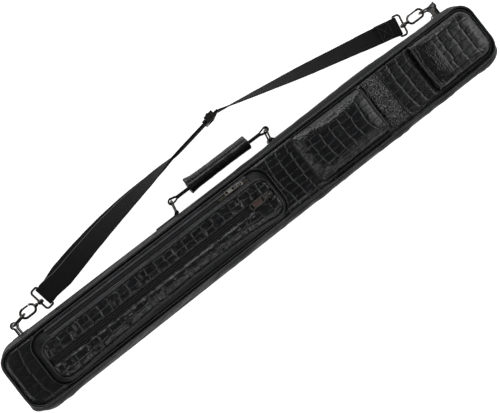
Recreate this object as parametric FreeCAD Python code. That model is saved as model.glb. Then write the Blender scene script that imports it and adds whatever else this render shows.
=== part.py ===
import FreeCAD, Part
import math
import os
from FreeCAD import Vector

# A padded cue case with front pockets, a carrying handle and a shoulder strap.
# The case lies on its back: +X runs to the top end, +Y to the handle side and +Z
# out of the front face. The origin is the centre of the back face, on the plane
# the case rests on. All lengths are in millimetres.

os.makedirs("parts", exist_ok=True)

X_AXIS, Y_AXIS, Z_AXIS = Vector(1, 0, 0), Vector(0, 1, 0), Vector(0, 0, 1)

# ---------------------------------------------------------------- body sizes
# An outline is a rounded rectangle: (x low, x high, y low, y high, corner radius)
FACE = (-432.0, 432.0, -45.5, 45.5, 22.0)      # front and back faces
DEPTH = 76.0            # back face to the crest of the front piping
MID_Z = DEPTH / 2       # parting plane of the two shells
BULGE_HANDLE = 7.0      # how far the handle-side wall bellies out
BULGE_HINGE = 12.5      # the same on the hinge side
BULGE_END = 3.5         # the same on both ends
BULGE_CORNER = 6.0      # growth of the corner radius at the parting plane
WALL_T = 4.0            # padded wall thickness
PIPE_R = 2.0            # radius of the edge piping
PANEL_T = 3.2           # stiffened face panels
PANEL_INSET = 2.1       # panel edge inside the face outline
FRONT_PANEL_Z = 72.0
HINGE_Y = -57.6         # sewn hinge line

# Foam trays
TRAY = (-426, 426, -41.5, 41.5, 14)
CHANNEL_X = (-385, 385)
BUTT_W = 34.0           # width of a butt channel
SHAFT_W = 22.0          # width of a shaft channel
SHAFT_PITCH = 26.0
BAND_W = 26.0           # retaining bands, measured along X

# Zippers. A row is the span of one tape or coil, measured from the chain line.
ZIP_HALF = 5.0          # half height of the zipper band between the shells
TAPE_ROW = (0.9, 5.05)
COIL_ROW = (0.5, 2.7)
TAPE_DEPTH = (-1.2, 0)
COIL_DEPTH = (0, 1.8)
WINDOW_HALF = 5.1       # half width of a zipper opening
TAB_PIVOT = 4.5         # height of the pull tab's hinge line over the chain
TAB_SMALL = (24, 8)     # pull tab length, width
TAB_LARGE = (31, 10)


# ------------------------------------------------------------ shape helpers
def grow(outline, d):
    """Outline offset outwards by d."""
    x0, x1, y0, y1, radius = outline
    return (x0 - d, x1 + d, y0 - d, y1 + d, radius + d)


def rounded_rect(outline, z):
    x0, x1, y0, y1, r = outline
    k = r * (1 - math.sqrt(0.5))
    tangent = [Vector(x, y, z) for x, y in (
        (x0 + r, y0), (x1 - r, y0), (x1, y0 + r), (x1, y1 - r),
        (x1 - r, y1), (x0 + r, y1), (x0, y1 - r), (x0, y0 + r))]
    middle = [Vector(x, y, z) for x, y in (
        (x1 - k, y0 + k), (x1 - k, y1 - k), (x0 + k, y1 - k), (x0 + k, y0 + k))]
    edges = []
    for i in range(4):
        start, end = tangent[2 * i], tangent[2 * i + 1]
        edges.append(Part.makeLine(start, end))
        edges.append(Part.Arc(end, middle[i], tangent[(2 * i + 2) % 8]).toShape())
    return Part.Wire(edges)


def prism(outline, z0, z1):
    return Part.Face(rounded_rect(outline, z0)).extrude(Vector(0, 0, z1 - z0))


def loft(sections):
    """Ruled solid through (outline, z) sections."""
    return Part.makeLoft([rounded_rect(*s) for s in sections], True, True)


def around(centre, half):
    return (centre - half, centre + half)


def box(xs, ys, zs):
    """Box from three spans, each with its ends in either order."""
    low = Vector(min(xs), min(ys), min(zs))
    size = Vector(max(xs), max(ys), max(zs)) - low
    return Part.makeBox(size.x, size.y, size.z, low)


def cylinder(base, axis, radius, length):
    return Part.makeCylinder(radius, length, Vector(base), Vector(axis))


def fuse(first, *others):
    result = first
    for other in others:
        result = result.fuse(other)
    return result.removeSplitter()


def polygon(points):
    return Part.makePolygon(points + [points[0]])


def rounded_loop(points, radii):
    """Closed planar wire through points, each corner rounded by its radius."""
    arcs = []
    for i, corner in enumerate(points):
        u = (points[i - 1] - corner).normalize()
        w = (points[(i + 1) % len(points)] - corner).normalize()
        half = math.acos(u.dot(w)) / 2
        radius = radii[i]
        reach = radius / math.tan(half)
        bisector = (u + w).normalize()
        middle = corner + bisector * (radius / math.sin(half) - radius)
        arcs.append((corner + u * reach, middle, corner + w * reach))
    edges = []
    for i, arc in enumerate(arcs):
        edges.append(Part.Arc(*arc).toShape())
        edges.append(Part.makeLine(arc[2], arcs[(i + 1) % len(arcs)][0]))
    return Part.Wire(edges)


def rod(path, radius):
    """Round rod along a smooth wire."""
    edge = path.OrderedEdges[0]
    start = edge.valueAt(edge.FirstParameter)
    tangent = edge.tangentAt(edge.FirstParameter)
    # The wire may run along its first edge backwards
    if (start - path.OrderedVertexes[0].Point).Length > 1e-5:
        start = edge.valueAt(edge.LastParameter)
        tangent = edge.tangentAt(edge.LastParameter) * -1
    profile = Part.Wire([Part.makeCircle(radius, start, tangent)])
    solid = path.makePipeShell([profile], True, False, 2)
    # A closed sweep can come back as a bare shell, or inside out
    if not solid.Solids:
        solid = Part.makeSolid(solid)
    if solid.Volume < 0:
        solid.reverse()
    return solid


def cord(outline, z, radius):
    return rod(rounded_rect(outline, z), radius)


def frame(origin, u, v, n):
    """Matrix taking local x, y, z to the directions u, v, n at origin."""
    return FreeCAD.Matrix(u[0], v[0], n[0], origin[0],
                          u[1], v[1], n[1], origin[1],
                          u[2], v[2], n[2], origin[2], 0, 0, 0, 1)


def put(shape, matrix):
    return shape.transformed(matrix, copy=True)


def body_outline(z):
    """Outer outline of the padded body at height z."""
    rise = (min(z, DEPTH - z) - PIPE_R) / (MID_Z - PIPE_R)
    s = math.sin(math.radians(90 * min(1.0, max(0.0, rise))))
    x0, x1, y0, y1, radius = FACE
    return (x0 - BULGE_END * s, x1 + BULGE_END * s,
            y0 - BULGE_HINGE * s, y1 + BULGE_HANDLE * s, radius + BULGE_CORNER * s)


def wall(heights):
    outer = loft([(body_outline(z), z) for z in heights])
    return outer.cut(loft([(grow(body_outline(z), -WALL_T), z) for z in heights]))


# ------------------------------------------------------------ zipper pieces
def slider_body():
    """Zipper slider in its own frame: x along the chain, z outwards."""
    body = fuse(box((-8, 8), (-4.4, 4.4), (2.1, 3.5)),        # outer plate
                box((-8, 8), (-4.4, 4.4), (-3.1, -1.5)),      # inner plate
                box((3.5, 8), (-0.35, 0.35), (-1.6, 2.2)),    # wedge between the rows
                box((-5, 5), (-1.0, 1.0), (3.4, 6.7)))        # bridge for the pull
    return body.cut(box((-2.8, 2.8), (-2, 2), (3.5, 5.5)))


def pull_tab(length, width):
    """Pull tab lying towards local -x, with its hinge pin along y."""
    half = width / 2
    thick = around(TAB_PIVOT, 0.7)
    tab = fuse(cylinder((0, -4.0, TAB_PIVOT), Y_AXIS, 0.7, 8.0),
               box((-8, 0), (2.3, 4.0), thick),
               box((-8, 0), (-4.0, -2.3), thick),
               box((-length, -6.6), (-half, half), thick))
    return tab.cut(box((2.2 - length, 5.2 - length), around(0, half - 2.4), (3, 6)))


def mirrored_rows(xs, row, depth, matrix):
    """A pair of straight strips, one on each side of the chain line."""
    return Part.makeCompound([put(box(xs, (side * row[0], side * row[1]), depth), matrix)
                              for side in (1, -1)])


def add_pocket_zip(name, tape_x, coil_x, slider_x, tab, frame_at):
    parts[name + "_zip_tape"] = mirrored_rows(tape_x, TAPE_ROW, TAPE_DEPTH, frame_at(0))
    parts[name + "_zip_coil"] = mirrored_rows(coil_x, COIL_ROW, COIL_DEPTH, frame_at(0))
    parts[name + "_slider"] = put(slider_body(), frame_at(slider_x))
    parts[name + "_pull"] = put(pull_tab(*tab), frame_at(slider_x))


parts = {}

# --------------------------------------------------------------- back shell
PANEL = grow(FACE, -PANEL_INSET)
parts["back_panel"] = prism(PANEL, 0.0, PANEL_T)
parts["back_piping"] = cord(FACE, PIPE_R, PIPE_R)
parts["back_wall"] = wall([4.0, 8, 13, 19, 26, MID_Z - ZIP_HALF])

tray = prism(TRAY, PANEL_T + 0.1, 32.0)
for y in (-1.0 - BUTT_W, 1.0):
    tray = tray.cut(box(CHANNEL_X, (y, y + BUTT_W), (7.0, 40)))
parts["cue_tray"] = tray

# Section of a butt band (y, z): a strap arched over the channels, with flat feet
BUTT_BAND = [(-41, 32.1), (-36, 32.1), (-34.4, 40.9), (34.4, 40.9),
             (36, 32.1), (41, 32.1), (41, 33.3), (37, 33.3),
             (35.4, 42.1), (-35.4, 42.1), (-37, 33.3), (-41, 33.3)]
parts["butt_bands"] = Part.makeCompound([
    Part.Face(polygon([Vector(x, y, z) for y, z in BUTT_BAND])).extrude(X_AXIS * BAND_W)
    for x in (-250.0, 250.0)])

# Strip sewn between the shells
parts["hinge_strip"] = box((-404, 404), around(HINGE_Y, 0.6), around(MID_Z, 4.5))

# -------------------------------------------------------------- main zipper
MIDDLE = body_outline(MID_Z)
END_X, WALL_Y = MIDDLE[1], MIDDLE[3]     # widest reach of the body
COIL_OUT = grow(MIDDLE, 0.8)
TAPE_OUT = grow(MIDDLE, -1.0)            # also the inside of the coils
TAPE_IN = grow(MIDDLE, -2.2)


def zip_band(outer, inner, near, far):
    """Band round the body between two heights over MID_Z, open at the hinge side."""
    z0, z1 = sorted((MID_Z + near, MID_Z + far))
    band = prism(outer, z0, z1).cut(prism(inner, z0 - 1, z1 + 1))
    return band.common(box((-470, 470), (-40.0, 80), (0, 80)))


for name, side in (("front", 1), ("back", -1)):
    parts["main_tape_" + name] = zip_band(
        TAPE_OUT, TAPE_IN, side * TAPE_ROW[0], side * (ZIP_HALF - 0.05))
    parts["main_coil_" + name] = zip_band(
        COIL_OUT, TAPE_OUT, side * COIL_ROW[0], side * COIL_ROW[1])

parts["main_zip_stops"] = Part.makeCompound([
    box((end * (END_X + 2.2), end * (END_X + 1.0)), (-39.0, -36.0), around(MID_Z - 1.5, 1.1))
    for end in (-1, 1)])

# One slider on the handle side, its pull swung over, and one on the top end
tilt = FreeCAD.Matrix()
tilt.move(Vector(0, 0, -TAB_PIVOT))
tilt.rotateY(math.radians(125))
tilt.move(Vector(0, 0, TAB_PIVOT))
side_slider_frame = frame((396.0, WALL_Y - 1.0, MID_Z), X_AXIS, (0, 0, -1), Y_AXIS)
end_slider_frame = frame((END_X - 1.0, 5.0, MID_Z), Y_AXIS, Z_AXIS, X_AXIS)
parts["main_slider_side"] = put(slider_body(), side_slider_frame)
parts["main_slider_end"] = put(slider_body(), end_slider_frame)
parts["main_pull_side"] = put(put(pull_tab(*TAB_SMALL), tilt), side_slider_frame)
parts["main_pull_end"] = put(pull_tab(*TAB_SMALL), end_slider_frame)

# -------------------------------------------------------------- front shell
parts["front_panel"] = prism(PANEL, FRONT_PANEL_Z, FRONT_PANEL_Z + PANEL_T)
parts["front_piping"] = cord(FACE, DEPTH - PIPE_R, PIPE_R)
parts["front_wall"] = wall([MID_Z + ZIP_HALF, 50, 57, 63, 68, FRONT_PANEL_Z])

tray = prism(TRAY, 44.0, FRONT_PANEL_Z - 0.1)
for y in (-SHAFT_PITCH, 0.0, SHAFT_PITCH):
    tray = tray.cut(box(CHANNEL_X, around(y, SHAFT_W / 2), (40, 68.0)))
parts["shaft_tray"] = tray
parts["shaft_bands"] = Part.makeCompound(
    [box((x, x + BAND_W), (-41, 41), (42.7, 43.9)) for x in (-150.0, 124.0)])

# ------------------------------------------------------------- large pocket
POCKET_BASE = (-386.0, 23.0, -41.8, 38.5, 20.0)     # sewn base outline
POCKET_TOP = (-376.0, 15.0, -35.5, 22.5, 15.0)      # front edge outline
BASE_Z = FRONT_PANEL_Z + PANEL_T + 0.05             # where every pocket starts
POCKET_Z = 88.0                                     # height of the front edge
POCKET_ZIP_Y = -5.0                                 # centre zipper line
GUSSET_T = 2.6

# The handle-side slope of the gusset carries the side zipper
slope_run = POCKET_BASE[3] - POCKET_TOP[3]
slope_rise = POCKET_Z - BASE_Z
slope = math.hypot(slope_run, slope_rise)
slope_normal = Vector(0, slope_rise / slope, slope_run / slope)
slope_down = Vector(0, slope_run / slope, -slope_rise / slope)
slope_middle = Vector(0, (POCKET_BASE[3] + POCKET_TOP[3]) / 2, (BASE_Z + POCKET_Z) / 2)


def slope_frame(x):
    """Frame on the side zipper's chain line, sunk a little into the slope."""
    origin = slope_middle - slope_normal * 0.7 + X_AXIS * x
    return frame(origin, X_AXIS, slope_down, slope_normal)


def front_frame(x):
    """Frame on the centre zipper's chain line."""
    return frame((x, POCKET_ZIP_Y, POCKET_Z + 1.7), X_AXIS, Y_AXIS, Z_AXIS)


gusset = loft([(POCKET_BASE, BASE_Z), (POCKET_TOP, POCKET_Z)]).cut(
    loft([(grow(POCKET_BASE, -GUSSET_T), BASE_Z), (grow(POCKET_TOP, -GUSSET_T), POCKET_Z)]))
window = box((-362, 2), around(0, WINDOW_HALF), (-6, 4))
parts["pocket_gusset"] = gusset.cut(put(window, slope_frame(0)))
add_pocket_zip("side", (-361.8, 1.8), (-358, -2), -20.0, TAB_SMALL, slope_frame)

# Front panel in two pieces, either side of the centre zipper
front = prism(grow(POCKET_TOP, -2.0), POCKET_Z + 0.1, POCKET_Z + 2.3)
for name, ys in (("upper", (POCKET_ZIP_Y + WINDOW_HALF, 60)),
                 ("lower", (-60, POCKET_ZIP_Y - WINDOW_HALF))):
    parts["pocket_front_" + name] = front.common(box((-500, 500), ys, (80, 100)))
parts["pocket_piping"] = cord(POCKET_TOP, POCKET_Z + 1.5, 1.45)
parts["pocket_base_piping"] = cord(grow(POCKET_BASE, 1.5), BASE_Z + 1.4, 1.35)
add_pocket_zip("pocket", (-373, 12), (-369, 11), 3.0, TAB_LARGE, front_frame)

# ------------------------------------------- open pouch and top slip pocket
# Each is (base outline, top outline, top height)
POUCH = ((82.0, 240.0, -41.0, 40.0, 9.0), (91.0, 236.0, -33.0, 32.0, 12.0), 87.0)
TOP_POCKET = ((290.0, 425.5, -41.0, 41.0, 20.0), (294.0, 415.0, -34.0, 34.0, 16.0), 84.0)
POUCH_SKIN = (0, -2.2)       # offsets of the outer and inner faces
POUCH_BINDING = (0.8, -2.8)
STRIP_YS = (-41.5, 41.5)


def pouch_slice(pouch, offsets, xs, z_low):
    """Part of a tapered shell lying in the X span xs and above z_low."""
    base, top, top_z = pouch
    outer, inner = [loft([(grow(base, d), BASE_Z), (grow(top, d), top_z + d)])
                    for d in offsets]
    return outer.cut(inner).common(box(xs, (-60, 60), (z_low, 100)))


parts["pouch_body"] = pouch_slice(POUCH, POUCH_SKIN, (60, 212), 70)
parts["pouch_binding"] = pouch_slice(POUCH, POUCH_BINDING, (212.05, 215.5), BASE_Z)
parts["gloss_strip"] = box((217, 249.3), STRIP_YS, (BASE_Z, BASE_Z + 1.2))
parts["mid_panel"] = box((249.6, 311.5), STRIP_YS, (BASE_Z, BASE_Z + 1.0))
parts["top_pocket"] = pouch_slice(TOP_POCKET, POUCH_SKIN, (317.95, 470), 70)
parts["top_pocket_binding"] = pouch_slice(TOP_POCKET, POUCH_BINDING, (313.5, 317.9), BASE_Z)
parts["top_pocket_band"] = pouch_slice(TOP_POCKET, (0.9, 0.05), (321.0, 346.5), BASE_Z + 0.5)

# ------------------------------------------------------------------- handle
HARDWARE_Z = 19.0       # height of the strap and handle hardware
TAB_Y = WALL_Y + 0.1    # underside of the tabs on the handle-side wall
RING_X = (-108.0, 72.0)
RING_Y = 57.5
RING_L = 18.5           # handle ring, bar to bar
RING_LEAN = 12.0        # degrees the handle rings lean towards the top end
CORE_HALF_Z = 6.5
GRIP_HALF_X = 56
GRIP_R = 9.5


def upright(x, y, radius, length):
    """Cylinder along Z, centred on the hardware height."""
    return cylinder((x, y, HARDWARE_Z - length / 2), Z_AXIS, radius, length)


def ring_link(bar, direction, half, length, radius, fillet):
    """Rectangular wire link with its first bar along Z."""
    up, reach = Z_AXIS * half, direction * length
    corners = [bar - up, bar + up, bar + up + reach, bar - up + reach]
    return rod(rounded_loop(corners, [fillet] * 4), radius)


def dee_link(bar, direction, half, length, radius, fillet):
    """D-shaped wire link with its straight bar along Z."""
    z, d = Z_AXIS, direction
    high, low = bar + z * half, bar - z * half
    arm = d * (length - half)
    bend = fillet * (1 - math.sqrt(0.5))
    path = Part.Wire([
        Part.makeLine(low + z * fillet, high - z * fillet),
        Part.Arc(high - z * fillet, high + (d - z) * bend, high + d * fillet).toShape(),
        Part.makeLine(high + d * fillet, high + arm),
        Part.Arc(high + arm, bar + d * length, low + arm).toShape(),
        Part.makeLine(low + arm, low + d * fillet),
        Part.Arc(low + d * fillet, low + (d + z) * bend, low + z * fillet).toShape()])
    return rod(path, radius)


def handle_tab(x, side):
    """Plate running from the ring at x, folded round the ring's bar."""
    zs = around(HARDWARE_Z, 7.5)
    plate = box((x, x + side * 40), (TAB_Y, WALL_Y + 2.5), zs)
    fold = upright(x, RING_Y, 3.7, 15)
    web = box((x, x + side * 5), (TAB_Y, RING_Y + 1), zs)
    return fuse(plate, fold, web).cut(upright(x, RING_Y, 1.9, 18))


# (height, radius) stations of the rivet's dome
RIVET_DOME = ((0.0, 3.05), (0.45, 2.86), (0.85, 2.3), (1.15, 1.5), (1.3, 0.7))


def rivet_head(x, facets=28):
    """Low domed head facing +Y, made of flat facets."""
    y, z = WALL_Y + 2.55, HARDWARE_Z
    turns = [2 * math.pi * k / facets for k in range(facets)]
    return Part.makeLoft([
        polygon([Vector(x + r * math.cos(a), y + h, z + r * math.sin(a)) for a in turns])
        for h, r in RIVET_DOME], True, True)


lean = math.radians(RING_LEAN)
ring_direction = Vector(math.sin(lean), math.cos(lean), 0)
rivets = []
grip_bars = []      # far bars of the two rings
for name, x, side in (("bottom", RING_X[0], -1), ("top", RING_X[1], 1)):
    bar = Vector(x, RING_Y, HARDWARE_Z)
    parts["handle_ring_" + name] = ring_link(bar, ring_direction, 9.6, RING_L, 1.5, 2.4)
    parts["handle_tab_" + name] = handle_tab(x, side)
    rivets += [rivet_head(x + side * reach) for reach in (13, 34)]
    grip_bars.append(bar + ring_direction * RING_L)
parts["tab_rivets"] = Part.makeCompound(rivets)

core_x = (grip_bars[0].x, grip_bars[1].x)
grip_y = grip_bars[0].y
core = fuse(*[upright(x, grip_y, 4.4, 2 * CORE_HALF_Z) for x in core_x],
            box(core_x, around(grip_y, 2.3), around(HARDWARE_Z, CORE_HALF_Z)))
for x in core_x:
    core = core.cut(upright(x, grip_y, 2.0, 18))
parts["handle_core"] = core

# Round grip with a flat rib along its +Y side, slotted for the core
grip_x = sum(core_x) / 2
grip = fuse(cylinder((grip_x - GRIP_HALF_X, grip_y, HARDWARE_Z), X_AXIS, GRIP_R,
                     2 * GRIP_HALF_X),
            box(around(grip_x, GRIP_HALF_X), (grip_y + 5, grip_y + 14.5),
                around(HARDWARE_Z, 2.2)))
parts["handle_grip"] = grip.cut(box(around(grip_x, GRIP_HALF_X + 1), around(grip_y, 2.5),
                                    around(HARDWARE_Z, CORE_HALF_Z + 0.2)))

# --------------------------------------------------- shoulder strap anchors
STRAP_Y = 75.0          # the line the shoulder strap swings about
PEAK = Vector(34.0, 142.5, HARDWARE_Z)      # highest point of the strap's arc
TAB_LOOP_Y = 70.0       # centre of the leather loop
D_RING_X = 21.0         # reach of the D-ring along X
HOOK_R = 7.0            # end radius of the snap hook's oval
HOOK_WIRE_R = 1.9
SWIVEL_X = 9.2          # hook end to the strap loop's first bar
LOOP_L = 11.5           # strap loop, bar to bar
LOOP_HALF = 17.2
LOOP_SHIFT = 2.0        # loop centre away from the swivel line

# name, X direction from the tab to the hook, loop centre x, tab plate x span
# about that centre, snap hook length
ANCHORS = (("bottom", 1, -392.0, (-13, 13), 24.0),
           ("top", -1, 412.0, (-22, 4), 30.0))


def swivel_rod(x, toward, radius, length):
    return cylinder((x, STRAP_Y, HARDWARE_Z), X_AXIS * toward, radius, length)


def strap_tab(x, plate_x):
    zs = around(HARDWARE_Z, 8)
    plate = box((x + plate_x[0], x + plate_x[1]), (TAB_Y, WALL_Y + 2.3), zs)
    neck = box(around(x, 2.6), (TAB_Y, TAB_LOOP_Y - 2), zs)
    loop = upright(x, TAB_LOOP_Y, 5.8, 16)
    return fuse(plate, neck, loop).cut(upright(x, TAB_LOOP_Y, 2.5, 18))


def snap_hook(toward, tip, end, gap):
    """Long oval from tip to end, cut open at gap, on a swivel pin."""
    def at(x, y):
        return Vector(x, STRAP_Y + y, HARDWARE_Z)

    near, far = tip + toward * HOOK_R, end - toward * HOOK_R
    oval = rod(Part.Wire([
        Part.makeLine(at(near, -HOOK_R), at(far, -HOOK_R)),
        Part.Arc(at(far, -HOOK_R), at(end, 0), at(far, HOOK_R)).toShape(),
        Part.makeLine(at(far, HOOK_R), at(near, HOOK_R)),
        Part.Arc(at(near, HOOK_R), at(tip, 0), at(near, -HOOK_R)).toShape()]), HOOK_WIRE_R)
    oval = oval.cut(box(gap, (STRAP_Y + 4.2, STRAP_Y + 10), around(HARDWARE_Z, 4)))
    neck = Part.makeCone(3.4, 2.4, 5.3, at(end - toward * 0.6, 0), X_AXIS * toward)
    pin = swivel_rod(end, toward, 1.5, 14.2)
    head = swivel_rod(end + toward * (SWIVEL_X + 3.2), toward, 2.8, 2.2)
    return fuse(oval, neck, pin, head)


def strap_loop(x, toward):
    """Strap loop with a boss for the swivel pin, and the centre of its webbing bar."""
    pivot = Vector(x, STRAP_Y, HARDWARE_Z)
    angle = 0.0
    # Turning the loop to face the peak moves its bar, so the angle is found in steps
    for _ in range(4):
        along = Vector(toward * math.cos(angle), toward * math.sin(angle), 0)
        across = Vector(-along.y, along.x, 0) * toward
        bar = pivot + along * LOOP_L + across * LOOP_SHIFT
        angle = math.atan2(PEAK.y - bar.y, PEAK.x - bar.x) - (math.pi if toward < 0 else 0)
    low = pivot + across * (LOOP_SHIFT - LOOP_HALF)
    high = pivot + across * (LOOP_SHIFT + LOOP_HALF)
    corners = [low, high, high + along * LOOP_L, low + along * LOOP_L]
    wire = rod(rounded_loop(corners, [4.5, 4.5, 1.9, 1.9]), 1.7)
    boss = swivel_rod(x - toward * 2.9, toward, 3.5, 5.8)
    hole = swivel_rod(x - toward * 6, toward, 1.55, 12)
    return fuse(wire, boss).cut(hole), bar


strap_bars = []
for name, toward, x, plate_x, hook_length in ANCHORS:
    parts["strap_tab_" + name] = strap_tab(x, plate_x)
    reach = Vector(toward * D_RING_X, STRAP_Y - TAB_LOOP_Y, 0)
    parts["d_ring_" + name] = dee_link(Vector(x, TAB_LOOP_Y, HARDWARE_Z),
                                       reach / reach.Length, 11.3, reach.Length, 1.6, 2.6)
    tip = x + toward * (D_RING_X - 5.6)
    end = tip + toward * hook_length
    # The gate fills a gap in the rail furthest from the case
    gap = (tip + toward * (HOOK_R + 0.8), end - toward * (HOOK_R - 0.6))
    parts["snap_hook_" + name] = snap_hook(toward, tip, end, gap)
    parts["hook_gate_" + name] = cylinder(
        (gap[0] + toward * 0.35, STRAP_Y + HOOK_R, HARDWARE_Z), X_AXIS * toward,
        1.5, abs(gap[1] - gap[0]) - 1.35)
    parts["strap_loop_" + name], bar = strap_loop(end + toward * SWIVEL_X, toward)
    strap_bars.append(bar)

# ------------------------------------------------------------ strap webbing
WEB_W = 30.0            # webbing width
WEB_T = 1.8             # webbing thickness
FOLD_R = 2.25           # inside radius of a fold round a bar
FOLD_OFFSET = 3.15      # layer centre to bar centre where it meets the fold


def smooth(a):
    """Smooth step from 0 to 1."""
    a = max(0.0, min(1.0, a))
    return a * a * (3 - 2 * a)


def across_of(direction):
    return Vector(-direction.y, direction.x, 0)


def strap_frame(origin, direction):
    return frame(origin, direction, across_of(direction), Z_AXIS)


def ribbon(direction, stations, offsets, twists):
    """Webbing from the peak along direction. Stations are distances from the peak;
    offsets shift it along its own normal; twists turn its width out of the XY
    plane, in degrees."""
    sections = []
    for station, offset, twist in zip(stations, offsets, twists):
        turn = math.radians(twist)
        width = across_of(direction) * math.cos(turn) + Z_AXIS * math.sin(turn)
        normal = direction.cross(width)
        centre = PEAK + direction * station + normal * offset
        w, n = width * (WEB_W / 2), normal * (WEB_T / 2)
        sections.append(polygon([centre + w + n, centre - w + n,
                                 centre - w - n, centre + w - n]))
    return Part.makeLoft(sections, True, True)


def bar_fold(bar, direction):
    """Half tube of webbing round the far side of a strap loop's bar."""
    axis = across_of(direction)
    tube = cylinder(bar - axis * (WEB_W / 2), axis, FOLD_R + WEB_T, WEB_W).cut(
        cylinder(bar - axis * (WEB_W / 2 + 2), axis, FOLD_R, WEB_W + 4))
    return tube.common(put(box((0, 20), (-40, 40), (-10, 10)), strap_frame(bar, direction)))


# Bottom half: two layers from the peak to the strap loop's bar
bottom_bar, top_bar = strap_bars
length = (bottom_bar - PEAK).Length
bottom_direction = (bottom_bar - PEAK).normalize()
stations = [0, 40, 80, 100, 115, 130, 145, 160, 175, 190, 205, 220, 240, 275, 320, 350, length]
twists = [90 * (1 - smooth((s - 80) / 160.0)) for s in stations]
offsets = [1.15 + 2.0 * smooth((s - (length - 50)) / 50.0) for s in stations]
bottom_half = ribbon(bottom_direction, stations, offsets, twists).fuse(
    ribbon(bottom_direction, stations, [-o for o in offsets], twists)).fuse(
    bar_fold(bottom_bar, bottom_direction))

# Top half: one layer, its end folded round the bar and sewn back
length = (top_bar - PEAK).Length
top_direction = (top_bar - PEAK).normalize()
stations = [0, 15, 35, 55, 75, 95, 115, 135, 155, 175, 195, 215, 240, 270, length - 12, length]
twists = [-90 * (1 - smooth((s - 8) / 240.0)) for s in stations]
offsets = [-FOLD_OFFSET * smooth((s - (length - 14)) / 14.0) for s in stations]
sewn_end = ribbon(top_direction, [length - 34, length - 26, length - 12, length],
                  [1.9, 1.9, 1.9, FOLD_OFFSET], [0] * 4)
top_half = ribbon(top_direction, stations, offsets, twists).fuse(sewn_end).fuse(
    bar_fold(top_bar, top_direction))

# A round core at the peak joins the halves
joint = upright(PEAK.x, PEAK.y, 2.25, WEB_W + 0.6)
parts["strap_webbing"] = bottom_half.fuse([joint, top_half])

# Strap slider: side rails, two flat bars on the case side of the webbing and a
# round bar on the other side, which holds the end loop
BAR_Y = -5.6            # round bar; local +y faces the case
slider_frame = strap_frame(PEAK + bottom_direction * 16.0, bottom_direction)
slider = fuse(box((-8.2, 8.2), (-6.8, 4.8), (15.6, 17.8)),
              box((-8.2, 8.2), (-6.8, 4.8), (-17.8, -15.6)),
              box((-8.2, -5.8), (2.4, 4.8), (-17, 17)),
              box((5.8, 8.2), (2.4, 4.8), (-17, 17)),
              cylinder((0, BAR_Y, -17), Z_AXIS, 1.1, 34))
parts["strap_slider"] = put(slider, slider_frame)
end_loop = cylinder((0, BAR_Y, -WEB_W / 2), Z_AXIS, 3.0, WEB_W).cut(
    cylinder((0, BAR_Y, -20), Z_AXIS, 1.3, 40))
parts["strap_end_loop"] = put(end_loop, slider_frame)

# ------------------------------------------------------------------- export
for name, shape in parts.items():
    shape.exportStep("parts/%s.step" % name)
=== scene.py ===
# A leather cue case lying flat on its back shell, closed.
#
# X runs along the case, with the top end at +X. Y runs across it: the handle, the strap
# anchors and the long run of the main zipper are on the near side (+Y), the hinge strip is
# on the far side (-Y). Z is up: the back shell rests on the floor and the front shell, with
# its pockets, faces upward. Shapes are in millimetres and become metres in make().
import math

import bmesh
import bpy
import numpy as np
from mathutils import Matrix, Vector


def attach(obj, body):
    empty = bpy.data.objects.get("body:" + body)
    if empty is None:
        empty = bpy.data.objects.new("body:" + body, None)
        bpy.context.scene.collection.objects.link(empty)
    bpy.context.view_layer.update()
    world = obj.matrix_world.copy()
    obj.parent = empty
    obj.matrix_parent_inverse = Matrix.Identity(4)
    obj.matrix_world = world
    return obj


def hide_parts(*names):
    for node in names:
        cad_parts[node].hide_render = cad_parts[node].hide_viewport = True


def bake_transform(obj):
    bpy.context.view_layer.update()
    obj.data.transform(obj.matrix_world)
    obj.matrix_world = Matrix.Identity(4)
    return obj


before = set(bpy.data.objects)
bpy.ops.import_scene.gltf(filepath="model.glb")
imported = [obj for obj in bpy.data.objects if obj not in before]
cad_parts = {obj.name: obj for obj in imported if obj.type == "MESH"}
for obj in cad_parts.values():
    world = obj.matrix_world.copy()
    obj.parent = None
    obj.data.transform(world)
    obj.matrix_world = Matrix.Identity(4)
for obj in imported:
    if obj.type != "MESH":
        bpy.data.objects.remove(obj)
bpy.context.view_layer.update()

MM = 0.001
UP = (0, 0, 1)
FRONT, BACK = "front_shell", "back_shell"

# ------------------------------------------------------------ dimensions
# A box is (x low, x high, y low, y high).
HALF_LENGTH, HALF_WIDTH, CORNER = 432.0, 45.5, 22.0     # the flat faces' outline
FACE_BOX = (-HALF_LENGTH, HALF_LENGTH, -HALF_WIDTH, HALF_WIDTH)
MID_Z = 38.0            # height of the main zipper
RIM_DROP = 36.0         # from the main zipper to either face's rim
FACE_Z = 75.25          # base level of everything on the front face
WALL_LOW, WALL_HIGH = 5.2, 34.3     # reach of a side wall, from MID_Z

POCKET_BASE, POCKET_BASE_R = (-386.0, 23.0, -41.8, 38.5), 20.0
POCKET_TOP, POCKET_TOP_R = (-376.0, 15.0, -35.5, 22.5), 15.0
POCKET_Z = 88.0
ZIP_Y = -5.0            # centre zipper of the large pocket
ZIP_ORIGIN = (0.0, ZIP_Y, POCKET_Z + 1.7)

# The side zipper lies on the pocket's sloping near side.
SLOPE_RISE, SLOPE_RUN = POCKET_Z - FACE_Z, POCKET_BASE[3] - POCKET_TOP[3]
SIDE_NORMAL = np.array([0, SLOPE_RISE, SLOPE_RUN]) / math.hypot(SLOPE_RISE, SLOPE_RUN)
SIDE_ACROSS = np.array([0, SLOPE_RUN, -SLOPE_RISE]) / math.hypot(SLOPE_RISE, SLOPE_RUN)
SIDE_ORIGIN = np.array([0, (POCKET_BASE[3] + POCKET_TOP[3]) / 2,
                        (FACE_Z + POCKET_Z) / 2]) - SIDE_NORMAL * 0.7

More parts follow.
